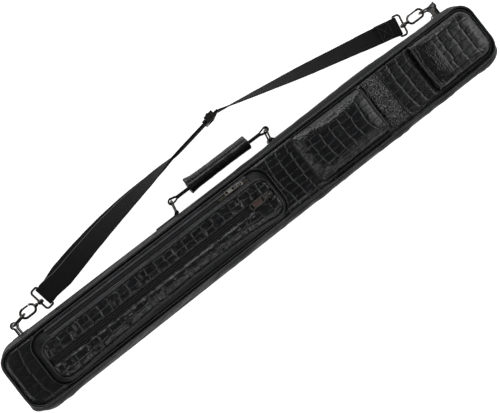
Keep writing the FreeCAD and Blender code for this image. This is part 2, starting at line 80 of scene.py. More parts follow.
ANCHOR_Z = 19.0         # height of handle, rings, anchors and strap
WALL_Y = 52.4           # nominal near wall at the anchors
RING_X = (-108.0, 72.0)
RING_Y = 57.5
GRIP_Y = 75.596
BAR_X = (-104.154, 75.846)          # ring bars that hold the handle

STRAP_LOW = np.array([-332.411, 78.936, ANCHOR_Z])
STRAP_HIGH = np.array([346.525, 79.242, ANCHOR_Z])
STRAP_PEAK = np.array([34.0, 142.5, ANCHOR_Z])
STRAP_SLIDER = np.array([18.235, 139.765, ANCHOR_Z])
STRAP_HALF = 15.0

# Outward swell of the long walls: x stations, then the swell there.
NEAR_X = (-432, -110, -60, 0, 50, 90, 120, 160, 210, 260, 300, 350, 395, 432)
NEAR_SWELL = (0.0, 0.0, 1.8, 2.8, 3.0, 4.4, 6.2, 6.8, 7.2, 6.8, 5.0, 3.4, 3.6, 2.0)
FAR_X = (-432, -400, -350, -250, -150, -100, -50, 50, 150, 250, 350, 400, 432)
FAR_SWELL = (1.5, 2.4, 0.6, 0.0, 1.4, 2.6, 1.6, 2.0, 2.4, 3.0, 3.8, 4.2, 2.5)
# Wander of the lid's far long seam: x stations, then the outward shift.
SEAM_X = (-432, -400, -300, -200, -100, 0, 50, 100, 200, 300, 380, 415, 432)
SEAM_SHIFT = (0.6, 1.8, 2.4, 2.0, 1.4, 1.2, 2.0, 3.2, 3.4, 3.8, 3.8, 2.4, 1.0)
# Wander of the large pocket's far edge: x stations, then the shift in y.
POCKET_X = (-386, -365, -300, -220, -140, -80, -30, 0, 15)
POCKET_SHIFT = (0, -2.2, -0.4, 2.4, 4.0, 2.6, -1.2, -2.8, -1.6)


# ------------------------------------------------------------ noise
def hash01(i, j, seed):
    i = np.asarray(i).astype(np.int64)
    j = np.asarray(j).astype(np.int64)
    x = (i * 374761393 + j * 668265263 + seed * 1442695041) & 0xFFFFFFFF
    x = ((x ^ (x >> 13)) * 1274126177) & 0xFFFFFFFF
    x = ((x ^ (x >> 16)) * 2246822519) & 0xFFFFFFFF
    x = x ^ (x >> 15)
    return (x & 0xFFFFFF) / float(0x1000000)


def noise(x, y, seed):
    """Smooth value noise, -1 to 1, one unit per cell."""
    x, y = np.asarray(x, float), np.asarray(y, float)
    i, j = np.floor(x), np.floor(y)
    u, v = [t * t * t * (t * (t * 6 - 15) + 10) for t in (x - i, y - j)]
    low = hash01(i, j, seed) * (1 - u) + hash01(i + 1, j, seed) * u
    high = hash01(i, j + 1, seed) * (1 - u) + hash01(i + 1, j + 1, seed) * u
    return (low * (1 - v) + high * v) * 2 - 1


def layered(x, y, seed, layers=3):
    """Noise with finer, weaker layers added."""
    total = sum(0.5 ** k * noise(x * 2 ** k, y * 2 ** k, seed + 17 * k) for k in range(layers))
    return total / sum(0.5 ** k for k in range(layers))


def ease(a):
    """Smooth step from 0 to 1."""
    a = np.clip(a, 0.0, 1.0)
    return a * a * (3 - 2 * a)


def cells(x, y, pitch_x, pitch_y, jitter_x, jitter_y, seed, shift=0.0):
    """Jittered cells in rows stacked along x. Returns the distance to the border between
    rows, the distance to the border inside a row, and a random value per cell."""
    i0, j0 = np.floor(x / pitch_x), np.floor(y / pitch_y)
    own = [np.zeros(x.shape) for _ in range(4)] + [np.full(x.shape, 1e9)]
    centres = []
    for di in (-1, 0, 1):
        for dj in (-2, -1, 0, 1, 2):
            i, j = i0 + di, j0 + dj
            cx = (i + 0.5 + jitter_x * (hash01(i, j, seed) - 0.5)) * pitch_x
            cy = (j + 0.5 + jitter_y * (hash01(i, j, seed + 5) - 0.5)
                  + shift * (np.mod(i, 2) - 0.5)) * pitch_y
            cell = (i, j, cx, cy, (x - cx) ** 2 + (y - cy) ** 2)
            closer = cell[4] < own[4]
            own = [np.where(closer, new, old) for new, old in zip(cell, own)]
            centres.append(cell)
    own_i, own_j, own_x, own_y, nearest = own
    row_edge, cell_edge = np.full(x.shape, 1e9), np.full(x.shape, 1e9)
    for i, j, cx, cy, dist in centres:
        gap = np.sqrt((cx - own_x) ** 2 + (cy - own_y) ** 2)
        edge = np.where(gap > 1e-6, (dist - nearest) / (2 * np.maximum(gap, 1e-6)), 1e9)
        other = i != own_i
        row_edge = np.where(other, np.minimum(row_edge, edge), row_edge)
        cell_edge = np.where(~other & (j != own_j), np.minimum(cell_edge, edge), cell_edge)
    return row_edge, cell_edge, hash01(own_i, own_j, seed + 11)


def crocodile(x, y, pitch_x, pitch_y, bow, seed, half=41.0, crowd=0.35, amount=1.0,
              jitter_x=0.10, jitter_y=0.26, wobble=1.0):
    """Crocodile emboss with bowed rows. Returns the height in mm, masks for the grooves
    between rows and between scales, and a value per scale."""
    u = x + bow * (1 - (y / half) ** 2) + wobble * (
        2.3 * noise(x / 44.0, y / 27.0, seed + 31) + 0.8 * layered(x / 13.0, y / 9.0, seed + 33))
    v = y + wobble * (1.6 * noise(x / 24.0 + 9, y / 17.0, seed + 47)
                      + 0.5 * layered(x / 8.0, y / 9.0, seed + 49))
    # crowd the scales towards the long edges
    share = np.abs(v) / half
    v = np.sign(v) * half * (share + crowd * share ** 4)
    row_edge, cell_edge, value = cells(u, v, pitch_x, pitch_y, jitter_x, jitter_y, seed, 0.06)
    rows = np.exp(-(row_edge / 0.50) ** 2)
    splits = np.exp(-(cell_edge / 0.50) ** 2)
    dome = 1 - np.exp(-np.minimum(row_edge, cell_edge * 1.2) / 1.5)
    h = amount * (0.50 * dome - 0.34 * rows - 0.20 * splits)
    h = h + amount * 0.035 * layered(x / 2.6, y / 2.6, seed + 61, 2)
    # pebbling inside each scale fades towards its middle
    fade = np.exp(-np.minimum(row_edge, cell_edge) / 2.5)
    h = h + amount * 0.05 * noise(x / 5.5, y / 4.5, seed + 63) * fade
    return h, rows, splits, value


def groove_attrs(rows, splits, value):
    """Groove masks, which place the painted groove highlights, and scale values, for both sides of
    a sheet.
    """
    fields = {"gt": rows, "gl": splits, "cv": value}
    return {key: np.tile(np.ravel(field), 2) for key, field in fields.items()}


# ------------------------------------------------------------ mesh builders
# A shape is a pair: vertices in mm, and faces as lists of indices.
def make(name, shape, mat, body, replaced=None, attrs=None, smooth=True, bend=None):
    """Object from a shape. bend reshapes the vertices; without a body it rides nothing."""
    verts, faces = shape
    if bend:
        verts = bend(verts)
    me = bpy.data.meshes.new(name)
    me.from_pydata((np.asarray(verts, float) * MM).tolist(), [], faces)
    me.update()
    bm = bmesh.new()
    bm.from_mesh(me)
    bmesh.ops.recalc_face_normals(bm, faces=bm.faces)
    bm.to_mesh(me)
    bm.free()
    for key, values in (attrs or {}).items():
        attribute = me.attributes.new(key, "FLOAT", "POINT")
        attribute.data.foreach_set("value", np.asarray(values, np.float32))
    if smooth:
        me.polygons.foreach_set("use_smooth", np.ones(len(me.polygons), bool))
    me.materials.append(mat)
    ob = bpy.data.objects.new(name, me)
    bpy.context.scene.collection.objects.link(ob)
    if body:
        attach(ob, body)
    if replaced:
        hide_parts(replaced)
    return ob


def unit(vectors):
    return vectors / np.maximum(np.linalg.norm(vectors, axis=-1, keepdims=True), 1e-9)


def grid_index(rows, columns, wrap_rows=False, wrap_columns=False):
    """Vertex numbers of a grid, with the first line repeated where it wraps."""
    index = np.arange(rows * columns).reshape(rows, columns)
    return np.pad(index, ((0, int(wrap_rows)), (0, int(wrap_columns))), mode="wrap")


def quads(index):
    corners = (index[:-1, :-1], index[1:, :-1], index[1:, 1:], index[:-1, 1:])
    return np.stack(corners, -1).reshape(-1, 4)


def normals(grid, wrap_columns=False, wrap_rows=False):
    def step(axis, wrap):
        if wrap:
            return np.roll(grid, -1, axis) - np.roll(grid, 1, axis)
        return np.gradient(grid, axis=axis)
    return unit(np.cross(step(0, wrap_rows), step(1, wrap_columns)))


def two_sided(grid, normal, over, under, wrap=False):
    """Closed thin solid: the grid moved out by over and in by under, with rims."""
    normal = np.asarray(normal, float)
    top = grid + normal * np.asarray(over)[..., None]
    bottom = grid - normal * np.asarray(under)[..., None]
    rows, columns = grid.shape[:2]
    count = rows * columns
    index = grid_index(rows, columns, wrap)

    def rim(line, flip):
        a, b = line[:-1], line[1:]
        faces = np.stack([a, a + count, b + count, b], 1)
        return faces[:, ::-1] if flip else faces

    faces = [quads(index), quads(index + count)[:, ::-1],
             rim(index[:, 0], False), rim(index[:, -1], True)]
    if not wrap:
        faces += [rim(index[0], True), rim(index[-1], False)]
    verts = np.concatenate([top.reshape(-1, 3), bottom.reshape(-1, 3)])
    return verts, np.concatenate(faces).tolist()


def sheet(grid, thickness, height=0.0, wrap=False, normal=None):
    """Thin solid with relief on its outer side. wrap closes the first axis."""
    if normal is None:
        normal = normals(grid, wrap_rows=wrap)
    return two_sided(grid, normal, height, thickness, wrap)


def interp_rows(at, known, rows):
    return np.stack([np.interp(at, known, column) for column in np.asarray(rows).T], 1)


def run_length(points):
    return np.r_[0, np.cumsum(np.linalg.norm(np.diff(points, axis=0), axis=1))]


def resample(path, step, closed=False):
    """Evenly spaced points along a path, and their distances from its start."""
    p = np.asarray(path, float)
    if closed:
        p = np.vstack([p, p[:1]])
    known = run_length(p)
    at = np.linspace(0, known[-1], max(3, int(round(known[-1] / step))) + 1)
    if closed:
        at = at[:-1]
    return interp_rows(at, known, p), at


def evenly(rows, count):
    """Rows of (x, y, ...) spread to count rows, evenly spaced in x and y."""
    rows = np.asarray(rows, float)
    known = run_length(rows[:, :2])
    return interp_rows(np.linspace(0, known[-1], count), known, rows)


def smoothed(points, passes):
    for _ in range(passes):
        points[1:-1] = (points[:-2] + 2 * points[1:-1] + points[2:]) / 4
    return points


def frames(p, up, closed=False):
    """Tangent, side and normal along a path; the normal leans to up."""
    t = np.roll(p, -1, 0) - np.roll(p, 1, 0) if closed else np.gradient(p, axis=0)
    t = unit(t)
    up = np.broadcast_to(np.asarray(up, float), t.shape)
    n = unit(up - t * np.sum(up * t, 1, keepdims=True))
    return t, np.cross(n, t), n


def sweep(path, radius, sides=12, up=UP, closed=False, profile=None):
    """Tube along a path. profile gives its own outline instead of a circle."""
    p = np.asarray(path, float)
    t, s, n = frames(p, up, closed)
    if profile is None:
        a = np.linspace(0, 2 * math.pi, sides, endpoint=False)
        profile = np.stack([np.cos(a), np.sin(a)], 1)
    sides = len(profile)
    r = np.broadcast_to(np.asarray(radius, float), (len(p),))[:, None, None]
    rings = p[:, None, :] + r * (profile[None, :, 0:1] * s[:, None, :]
                                 + profile[None, :, 1:2] * n[:, None, :])
    verts = rings.reshape(-1, 3)
    faces = quads(grid_index(len(p), sides, closed, True)).tolist()
    if not closed:
        start, end = len(verts), len(verts) + 1
        verts = np.vstack([verts, p[0] - t[0] * 0.35 * r[0, 0], p[-1] + t[-1] * 0.35 * r[-1, 0]])
        last = (len(p) - 1) * sides
        for k in range(sides):
            k2 = (k + 1) % sides
            faces += [[start, k2, k], [end, last + k, last + k2]]
    return verts, [face[::-1] for face in faces]


def join(*shapes):
    verts, faces, offset = [], [], 0
    for points, polygons in shapes:
        verts.append(np.asarray(points, float))
        faces += [[k + offset for k in face] for face in polygons]
        offset += len(points)
    return np.vstack(verts), faces


# ------------------------------------------------------------ rounded rectangles
def grow(box, d):
    return (box[0] - d, box[1] + d, box[2] - d, box[3] + d)


def rounded(box, r, steps):
    """Corner points of a rounded rectangle, anticlockwise."""
    x0, x1, y0, y1 = box
    centres = ((x1 - r, y0 + r), (x1 - r, y1 - r), (x0 + r, y1 - r), (x0 + r, y0 + r))
    points = []
    for turn, (cx, cy) in enumerate(centres):
        for k in range(steps + 1):
            a = math.radians(90 * (turn - 1) + 90 * k / steps)
            points.append((cx + r * math.cos(a), cy + r * math.sin(a)))
    return np.array(points)


def bar_profile(a, b, r):
    """Rounded flat cross-section, half thickness a and half width b."""
    return rounded((-a, a, -b, b), r, 3)


def rounded_path(box, r, z, step=3.0, corner_steps=9):
    points = rounded(box, r, corner_steps)
    return resample(np.column_stack([points, np.full(len(points), z)]), step, True)[0]


def matched_loop(box, r, z, nx, ny, corner_steps):
    """Rounded rectangle with a fixed number of points on each run, from the +X side
    anticlockwise, so that two outlines pair up."""
    x0, x1, y0, y1 = box
    centres = np.array([(x1 - r, y1 - r), (x0 + r, y1 - r), (x0 + r, y0 + r), (x1 - r, y0 + r)])
    parts = []
    for turn, steps in enumerate((ny, nx, ny, nx)):
        a = math.radians(90 * turn) + math.radians(90) * np.arange(corner_steps) / corner_steps
        arc = r * np.column_stack([np.cos(a), np.sin(a)])
        parts.append(np.linspace(centres[turn - 1] + arc[0], centres[turn] + arc[0], steps,
                                 endpoint=False))
        parts.append(centres[turn] + arc)
    points = np.concatenate(parts)
    return np.column_stack([points, np.full(len(points), z)])


def opened(path, keep):
    """The kept run of a closed path, in order."""
    start = int(np.argmax(keep & ~np.roll(keep, 1)))
    return np.roll(path, -start, 0)[np.roll(keep, -start)]


def inside(x, y, box, r):
    """Distance inside a rounded rectangle (positive inside)."""
    qx = np.abs(x - (box[0] + box[1]) / 2) - ((box[1] - box[0]) / 2 - r)
    qy = np.abs(y - (box[2] + box[3]) / 2) - ((box[3] - box[2]) / 2 - r)
    outer = np.hypot(np.maximum(qx, 0), np.maximum(qy, 0))
    return -(outer + np.minimum(np.maximum(qx, qy), 0) - r)


def rounded_grid(box, r, xs, columns, low=-np.inf, high=np.inf, power=1.0):
    """Grid over a rounded rectangle; each row spans the outline's width."""
    x0, x1, y0, y1 = box
    over = np.maximum(0, np.maximum((x0 + r) - xs, xs - (x1 - r)))
    cut = r - np.sqrt(np.maximum(r * r - over * over, 0))
    start, end = np.maximum(low, y0 + cut), np.minimum(high, y1 - cut)
    t = np.linspace(-1, 1, columns)
    t = (np.sign(t) * np.abs(t) ** power + 1) / 2
    Y = start[:, None] + (end - start)[:, None] * t[None, :]
    return np.broadcast_to(xs[:, None], Y.shape).copy(), Y


def stations(start, *spans):
    """Values from start through spans of (end, number of steps)."""
    parts = []
    for end, steps in spans:
        parts.append(np.linspace(start, end, steps, endpoint=False))
        start = end
    return np.concatenate(parts + [[start]])


# ------------------------------------------------------------ cloth
def resize(grid, rows, columns):
    """Linear resize of a coarse grid."""
    for axis, count in ((0, rows), (1, columns)):
        at = np.linspace(0, 1, count)
        grid = np.apply_along_axis(
            lambda line: np.interp(at, np.linspace(0, 1, len(line)), line), axis, grid)
    return grid


def doubled(grid):
    """Smooth points inserted between the rows of a grid."""
    pad = np.concatenate([[2 * grid[0] - grid[1]], grid, [2 * grid[-1] - grid[-2]]])
    out = np.empty((2 * len(grid) - 1,) + grid.shape[1:])
    out[::2] = grid
    out[1::2] = (9 * (pad[1:-2] + pad[2:-1]) - pad[:-3] - pad[3:]) / 16
    return out


CLOTH_SCALE = 0.01      # cloth runs at ten times life size
CLOTH_FRAMES = 16
CLOTH_TENSION = 12.0


def cloth_settings(modifier, pressure, shrink, bend):
    cs = modifier.settings
    cs.quality = 6
    cs.mass = 0.3
    cs.tension_stiffness = cs.compression_stiffness = CLOTH_TENSION
    cs.shear_stiffness = CLOTH_TENSION * 0.6
    cs.bending_stiffness = bend
    cs.tension_damping = cs.compression_damping = cs.shear_damping = 6
    cs.air_damping = 3
    cs.vertex_group_mass = "pin"
    cs.effector_weights.gravity = 0
    cs.use_pressure = True
    cs.uniform_pressure_force = pressure
    cs.shrink_min = cs.shrink_max = shrink
    modifier.collision_settings.use_collision = False
    modifier.point_cache.frame_start = 1
    modifier.point_cache.frame_end = CLOTH_FRAMES + 2


def puffed(fine, step, pressure, limit, shrink=-0.015, bend=0.5):
    """Puffs a grid with a cloth run on every step-th point. The rim stays pinned and no
    point moves further than limit."""
    rows = max(8, int(round((fine.shape[0] - 1) / step[0])) + 1)
    columns = max(6, int(round((fine.shape[1] - 1) / step[1])) + 1)
    picked = [np.round(np.linspace(0, total - 1, count)).astype(int)
              for total, count in zip(fine.shape, (rows, columns))]
    coarse = fine[np.ix_(*picked)]
    me = bpy.data.meshes.new("sim_tmp")
    index = grid_index(rows, columns)
    me.from_pydata((coarse.reshape(-1, 3) * CLOTH_SCALE).tolist(), [], quads(index).tolist())
    ob = bpy.data.objects.new("sim_tmp", me)
    scene = bpy.context.scene
    scene.collection.objects.link(ob)
    pin = np.ones((rows, columns), bool)
    pin[1:-1, 1:-1] = False
    ob.vertex_groups.new(name="pin").add(index[pin].tolist(), 1.0, "REPLACE")
    cloth_settings(ob.modifiers.new("cloth", "CLOTH"), pressure, shrink, bend)
    for number in range(1, CLOTH_FRAMES + 1):
        scene.frame_set(number)
    posed = ob.evaluated_get(bpy.context.evaluated_depsgraph_get())
    result = posed.to_mesh()
    points = np.zeros(len(result.vertices) * 3, np.float32)
    result.vertices.foreach_get("co", points)
    posed.to_mesh_clear()
    scene.frame_set(1)
    bpy.data.objects.remove(ob)
    bpy.data.meshes.remove(me)
    move = points.reshape(rows, columns, 3).astype(float) / CLOTH_SCALE - coarse
    length = np.linalg.norm(move, axis=2, keepdims=True)
    move = move * np.minimum(1.0, limit / np.maximum(length, 1e-9))
    move[~np.isfinite(move)] = 0
    return fine + resize(move, *fine.shape[:2])


# ------------------------------------------------------------ materials
class Material:
    """Principled material; its methods add a node and return the output socket."""

    def __init__(self, name, base, roughness=0.5, metallic=0.0, specular=0.5, coat=0.0,
                 coat_roughness=0.2, sheen=0.0, sheen_roughness=0.5):
        self.material = bpy.data.materials.new(name)
        self.material.use_nodes = True
        self.tree = self.material.node_tree
        self.inputs = self.tree.nodes["Principled BSDF"].inputs
        self.coat = coat
        values = {"Base Color": (*base, 1), "Roughness": roughness, "Metallic": metallic,
                  "Specular IOR Level": specular, "Coat Weight": coat,
                  "Coat Roughness": coat_roughness, "Sheen Weight": sheen,
                  "Sheen Roughness": sheen_roughness}
        for key, value in values.items():
            self.inputs[key].default_value = value
        self.place = self.node("ShaderNodeTexCoord", "Object", {})

    def node(self, kind, output, inputs, **settings):
        new = self.tree.nodes.new(kind)
        for key, value in settings.items():
            setattr(new, key, value)
        for key, value in inputs.items():
            if isinstance(value, bpy.types.NodeSocket):
                self.tree.links.new(value, new.inputs[key])
            else:
                new.inputs[key].default_value = value
        return new.outputs[output]

    def scaled(self, scale):
        return self.node("ShaderNodeMapping", "Vector", {"Scale": scale, "Vector": self.place})

    def noise(self, scale, detail=3, roughness=0.6, vector=None):
        return self.node("ShaderNodeTexNoise", "Fac", {
            "Scale": scale, "Detail": detail, "Roughness": roughness,
            "Vector": vector or self.place})

    def cell_edges(self, scale):
        return self.node("ShaderNodeTexVoronoi", "Distance",
                         {"Scale": scale, "Vector": self.place}, feature="DISTANCE_TO_EDGE")

    def wave(self, density, axis):
        return self.node("ShaderNodeTexWave", "Fac", {
            "Scale": 1.0, "Distortion": 0.0, "Detail": 1,
            "Vector": self.scaled((density,) * 3)}, bands_direction=axis)

    def attribute(self, name):
        return self.node("ShaderNodeAttribute", "Fac", {}, attribute_name=name)

    def ramp(self, source, start, end, low=0.0, high=1.0):
        return self.node("ShaderNodeMapRange", "Result", {
            "From Min": start, "From Max": end, "To Min": low, "To Max": high,
            "Value": source})

    def math(self, operation, a, b):
        return self.node("ShaderNodeMath", 0, {0: a, 1: b}, operation=operation)

    def mix(self, share, a, b):
        a, b = [(*c, 1) if isinstance(c, tuple) else c for c in (a, b)]
        return self.node("ShaderNodeMix", 2, {0: share, 6: a, 7: b}, data_type="RGBA")

    def bump(self, height, strength, distance, under=None):
        inputs = {"Strength": strength, "Distance": distance, "Height": height}
        if under is not None:
            inputs["Normal"] = under
        return self.node("ShaderNodeBump", "Normal", inputs)

    def finish(self, color, normal, roughness=None):
        link = self.tree.links.new
        link(color, self.inputs["Base Color"])
        if roughness is not None:
            link(roughness, self.inputs["Roughness"])
        link(normal, self.inputs["Normal"])
        if self.coat > 0:
            link(normal, self.inputs["Coat Normal"])
        return self.material


def leather(name, dark, light, roughness, grain, grain_depth, groove_highlight=None, coat=0.0,
            specular=0.5):
    """Grained leather. With a groove highlight colour it reads the crocodile attributes and paints
    highlights in the grooves.
    """
    m = Material(name, dark, coat=coat, specular=specular, coat_roughness=0.18)
    mottle = m.noise(scale=22, detail=4)
    color = m.mix(m.ramp(mottle, start=0.35, end=0.7), dark, light)
    if groove_highlight:
        color = m.mix(m.math("MULTIPLY", m.attribute("cv"), 0.55), color, light)
        # painted highlights along the grooves between rows and between scales
        # mask attribute, scale and ramp of the breaks in it, strength
        for key, scale, start, end, strength in (("gt", 160, 0.32, 0.62, 0.85),
                                                 ("gl", 210, 0.35, 0.7, 0.80)):
            breaks = m.ramp(m.noise(scale=scale), start=start, end=end)
            mask = m.math("MULTIPLY", m.attribute(key), breaks)
            color = m.mix(m.math("MULTIPLY", mask, strength), color, groove_highlight)
    # slightly paler worn spots
    wear = m.ramp(m.noise(scale=75, detail=6, roughness=0.7), start=0.62, end=0.8, high=0.12)
    color = m.mix(wear, color, tuple(min(1, c * 2.6) for c in light))
    sheen = m.math("ADD", m.noise(scale=95, detail=4), m.math("MULTIPLY", mottle, 0.4))
    sheen = m.ramp(sheen, start=0.45, end=0.95, low=roughness[0], high=roughness[1])
    pores = m.ramp(m.cell_edges(grain), start=0.0, end=0.28)
    normal = m.bump(pores, strength=grain_depth, distance=0.00016)
    normal = m.bump(m.noise(scale=grain * 0.45, detail=4), strength=grain_depth * 0.8,
                    distance=0.0002, under=normal)
    normal = m.bump(m.noise(scale=140), strength=0.09, distance=0.0005, under=normal)
    return m.finish(color, normal, sheen)


def fabric(name, dark, light, warp, weft, relief, sheen, roughness, depth=0.0004):
    """Woven cloth; warp and weft are thread densities."""
    m = Material(name, dark, roughness, sheen=sheen, sheen_roughness=0.45, specular=0.25)
    across = m.math("MAXIMUM", m.wave(weft, "Y"), m.wave(weft, "Z"))
    weave = m.math("MULTIPLY", m.wave(warp, "X"), across)
    fuzz = m.noise(scale=2600, roughness=0.7)
    height = m.math("ADD", weave, m.math("MULTIPLY", fuzz, 0.6))
    color = m.mix(m.ramp(height, start=0.2, end=1.3), dark, light)
    patches = m.ramp(m.noise(scale=60, detail=4), start=0.45, end=0.8, high=0.35)
    color = m.mix(patches, color, light)
    rough = m.ramp(fuzz, start=0.3, end=0.7, low=roughness - 0.1, high=roughness + 0.08)
    return m.finish(color, m.bump(height, strength=relief, distance=depth), rough)


def plush():
    m = Material("plush_m", (0.02, 0.02, 0.024), 0.95, sheen=0.7, sheen_roughness=0.35,
                 specular=0.15)
    fibre = m.noise(scale=1400, detail=5, roughness=0.75)
    nap = m.noise(scale=38, detail=4)
    color = m.mix(m.ramp(fibre, start=0.3, end=0.75), (0.012, 0.012, 0.016), (0.05, 0.05, 0.058))
    color = m.mix(m.ramp(nap, start=0.42, end=0.7, high=0.5), color, (0.07, 0.07, 0.078))
    normal = m.bump(nap, strength=0.3, distance=0.002)
    return m.finish(color, m.bump(fibre, strength=0.9, distance=0.0008, under=normal))


def coil(name, base, roughness, metallic, grain, dark, light):
    m = Material(name, base, roughness, metallic)
    speck = m.noise(scale=grain)
    color = m.mix(m.ramp(speck, start=0.3, end=0.8), dark, light)
    rough = m.ramp(m.noise(scale=300), start=0.3, end=0.7, low=0.26, high=0.46)
    return m.finish(color, m.bump(speck, strength=0.25, distance=0.0002), rough)


def metal(name, dark, middle, light, roughness=(0.24, 0.45)):
    m = Material(name, middle, 0.35, metallic=1.0)
    tarnish = m.noise(scale=120, detail=5, roughness=0.65)
    speck = m.noise(scale=900, detail=4, roughness=0.7)
    color = m.mix(m.ramp(tarnish, start=0.35, end=0.65), dark, middle)
    color = m.mix(m.ramp(speck, start=0.55, end=0.78, high=0.8), color, light)
    rough = m.ramp(m.noise(scale=240, detail=5), start=0.3, end=0.7, low=roughness[0],
                   high=roughness[1])
    brushed = m.noise(scale=1.0, detail=4, vector=m.scaled((300, 2600, 2600)))
    normal = m.bump(speck, strength=0.12, distance=0.0001)
    return m.finish(color, m.bump(brushed, strength=0.18, distance=0.00012, under=normal), rough)


def thread():
    m = Material("thread_m", (0.03, 0.03, 0.032), 0.6, sheen=0.3)
    twist = m.wave(1400, "DIAGONAL")
    color = m.mix(twist, (0.018, 0.018, 0.020), (0.075, 0.075, 0.08))
    return m.finish(color, m.bump(twist, strength=0.6, distance=0.0002))


# the pale groove colour is a painted highlight along the crocodile grooves
CROC = leather("croc_leather_m", (0.0058, 0.0061, 0.0070), (0.0120, 0.0125, 0.0140),
               roughness=(0.20, 0.34), grain=1500, grain_depth=0.18,
               groove_highlight=(0.16, 0.162, 0.165), coat=0.12)
WALL = leather("smooth_leather_m", (0.0120, 0.0127, 0.0134), (0.023, 0.0240, 0.0252),
               roughness=(0.34, 0.48), grain=1250, grain_depth=0.3, specular=0.13)
GUSSET = leather("gusset_leather_m", (0.005, 0.0053, 0.0060), (0.0115, 0.0120, 0.0132),
                 roughness=(0.26, 0.40), grain=1250, grain_depth=0.3, specular=0.16)
PIPING = leather("piping_m", (0.015, 0.0156, 0.0168), (0.028, 0.0288, 0.0305),
                 roughness=(0.20, 0.30), grain=1700, grain_depth=0.18)
GLOSS = leather("gloss_leather_m", (0.003, 0.003, 0.004), (0.008, 0.008, 0.010),
                roughness=(0.05, 0.11), grain=700, grain_depth=0.35, coat=1.0)
# the pale groove colour is a painted highlight along the grip's grooves
GRIP = leather("grip_leather_m", (0.004, 0.0042, 0.0050), (0.011, 0.0113, 0.0128),
               roughness=(0.22, 0.36), grain=1300, grain_depth=0.25,
               groove_highlight=(0.10, 0.10, 0.105), coat=0.15)
# pale grey leather: painted highlight on the side zipper's lips and welts
LIP_HIGHLIGHT = leather("lip_highlight_leather_m", (0.080, 0.082, 0.086), (0.140, 0.142, 0.148),
              roughness=(0.24, 0.36), grain=1500, grain_depth=0.2)
TAB = leather("tab_leather_m", (0.006, 0.0062, 0.0070), (0.014, 0.0144, 0.016),
              roughness=(0.28, 0.44), grain=1300, grain_depth=0.3)
BAND = leather("band_leather_m", (0.0045, 0.0046, 0.0055), (0.011, 0.0113, 0.0128),
               roughness=(0.16, 0.28), grain=1000, grain_depth=0.2, coat=0.35)
WEBBING = fabric("webbing_m", (0.0035, 0.0035, 0.0038), (0.012, 0.012, 0.0125),
                 warp=520, weft=900, relief=0.5, sheen=0.06, roughness=0.78)
WEB_PATCH = fabric("webbing_patch_m", (0.0025, 0.0025, 0.0028), (0.009, 0.009, 0.0095),
                   warp=520, weft=900, relief=0.55, sheen=0.05, roughness=0.8)
TAPE = fabric("zip_tape_m", (0.005, 0.005, 0.0055), (0.018, 0.018, 0.0195),
              warp=620, weft=620, relief=0.5, sheen=0.06, roughness=0.75, depth=0.0003)
ELASTIC = fabric("elastic_m", (0.010, 0.010, 0.012), (0.034, 0.034, 0.037),
                 warp=300, weft=900, relief=0.7, sheen=0.12, roughness=0.85)
# pale cord colour: painted highlight along the edge of the strap's near layer
SELVAGE_HIGHLIGHT = fabric("selvage_highlight_m", (0.09, 0.09, 0.092), (0.20, 0.20, 0.205),
                 warp=1400, weft=1400, relief=0.4, sheen=0.1, roughness=0.6)
PLUSH = plush()
COIL = coil("zip_coil_m", (0.018, 0.018, 0.02), roughness=0.34, metallic=0.0, grain=900,
            dark=(0.010, 0.010, 0.011), light=(0.042, 0.041, 0.042))
# bright warm coil colour: a painted highlight on the side zipper's chain near its slider
COIL_HIGHLIGHT = coil("zip_coil_highlight_m", (0.1, 0.09, 0.07), roughness=0.3, metallic=0.7, grain=700,
                 dark=(0.05, 0.045, 0.035), light=(0.30, 0.26, 0.19))
GUN = metal("gunmetal_m", (0.075, 0.072, 0.068), (0.16, 0.152, 0.142), (0.42, 0.37, 0.30))
GUN_RIM = metal("gunmetal_rim_m", (0.14, 0.132, 0.122), (0.27, 0.25, 0.225), (0.55, 0.5, 0.43))
INLAY = metal("pull_inlay_m", (0.20, 0.135, 0.12), (0.30, 0.20, 0.175), (0.42, 0.30, 0.26),
              roughness=(0.34, 0.55))
THREAD = thread()


# ------------------------------------------------------------ stitches, teeth and cords
def stitches(name, path, body, up, pitch, length, radius):
    """A row of thread stitches along a path, as small closed capsules."""
    p, s = resample(path, 0.5)
    n = frames(p, up)[2]
    lift = np.array([-0.25, 0.12, 0.22, 0.12, -0.25])[:, None]
    taper = radius * np.array([0.55, 1, 1.08, 1, 0.55])
    row = []
    for k in range(int(s[-1] // pitch)):
        centre = (k + 0.5) * pitch
        ends = np.searchsorted(s, (centre - length / 2, centre + length / 2))
        picked = np.linspace(*ends, 5).astype(int)
        row.append(sweep(p[picked] + n[picked] * lift, taper, 6, up))
    make(name, join(*row), THREAD, body)


def teeth(path, up, side, size, offset, lift):
    """Coil loops on one side of a path, as small closed barrels lying across it. up is a
    vector, or a function giving one per point. size is (pitch, reach, length, depth)."""
    pitch, reach, length, depth = size
    p, s = resample(path, 0.4)
    t, _, n = frames(p, up(p) if callable(up) else up)
    at = np.arange(int((s[-1] - offset) // pitch)) * pitch + offset + 0.5
    p, t, n = [interp_rows(at, s, rows) for rows in (p, t, n)]
    across = np.cross(n, t) * side
    angles = np.linspace(0, 2 * math.pi, 7)[:-1]
    # share of the reach, then share of the radius
    loop = np.array([(a * reach, math.cos(b) * length / 2 * q, math.sin(b) * depth / 2 * q)
                     for a, q in ((0.06, 0.55), (0.35, 1.0), (0.9, 1.0), (1.0, 0.5))
                     for b in angles])
    single = quads(grid_index(4, 6, False, True)).tolist()
    single += [[5, 4, 3, 2, 1, 0], [18, 19, 20, 21, 22, 23]]
    if side > 0:
        single = [face[::-1] for face in single]
    verts = p[:, None, :] + n[:, None, :] * lift
    for k, axis in enumerate((across, t, n)):
        verts = verts + axis[:, None, :] * loop[None, :, k:k + 1]
    faces = [[i + k * len(loop) for i in face] for k in range(len(at)) for face in single]
    return verts.reshape(-1, 3), faces


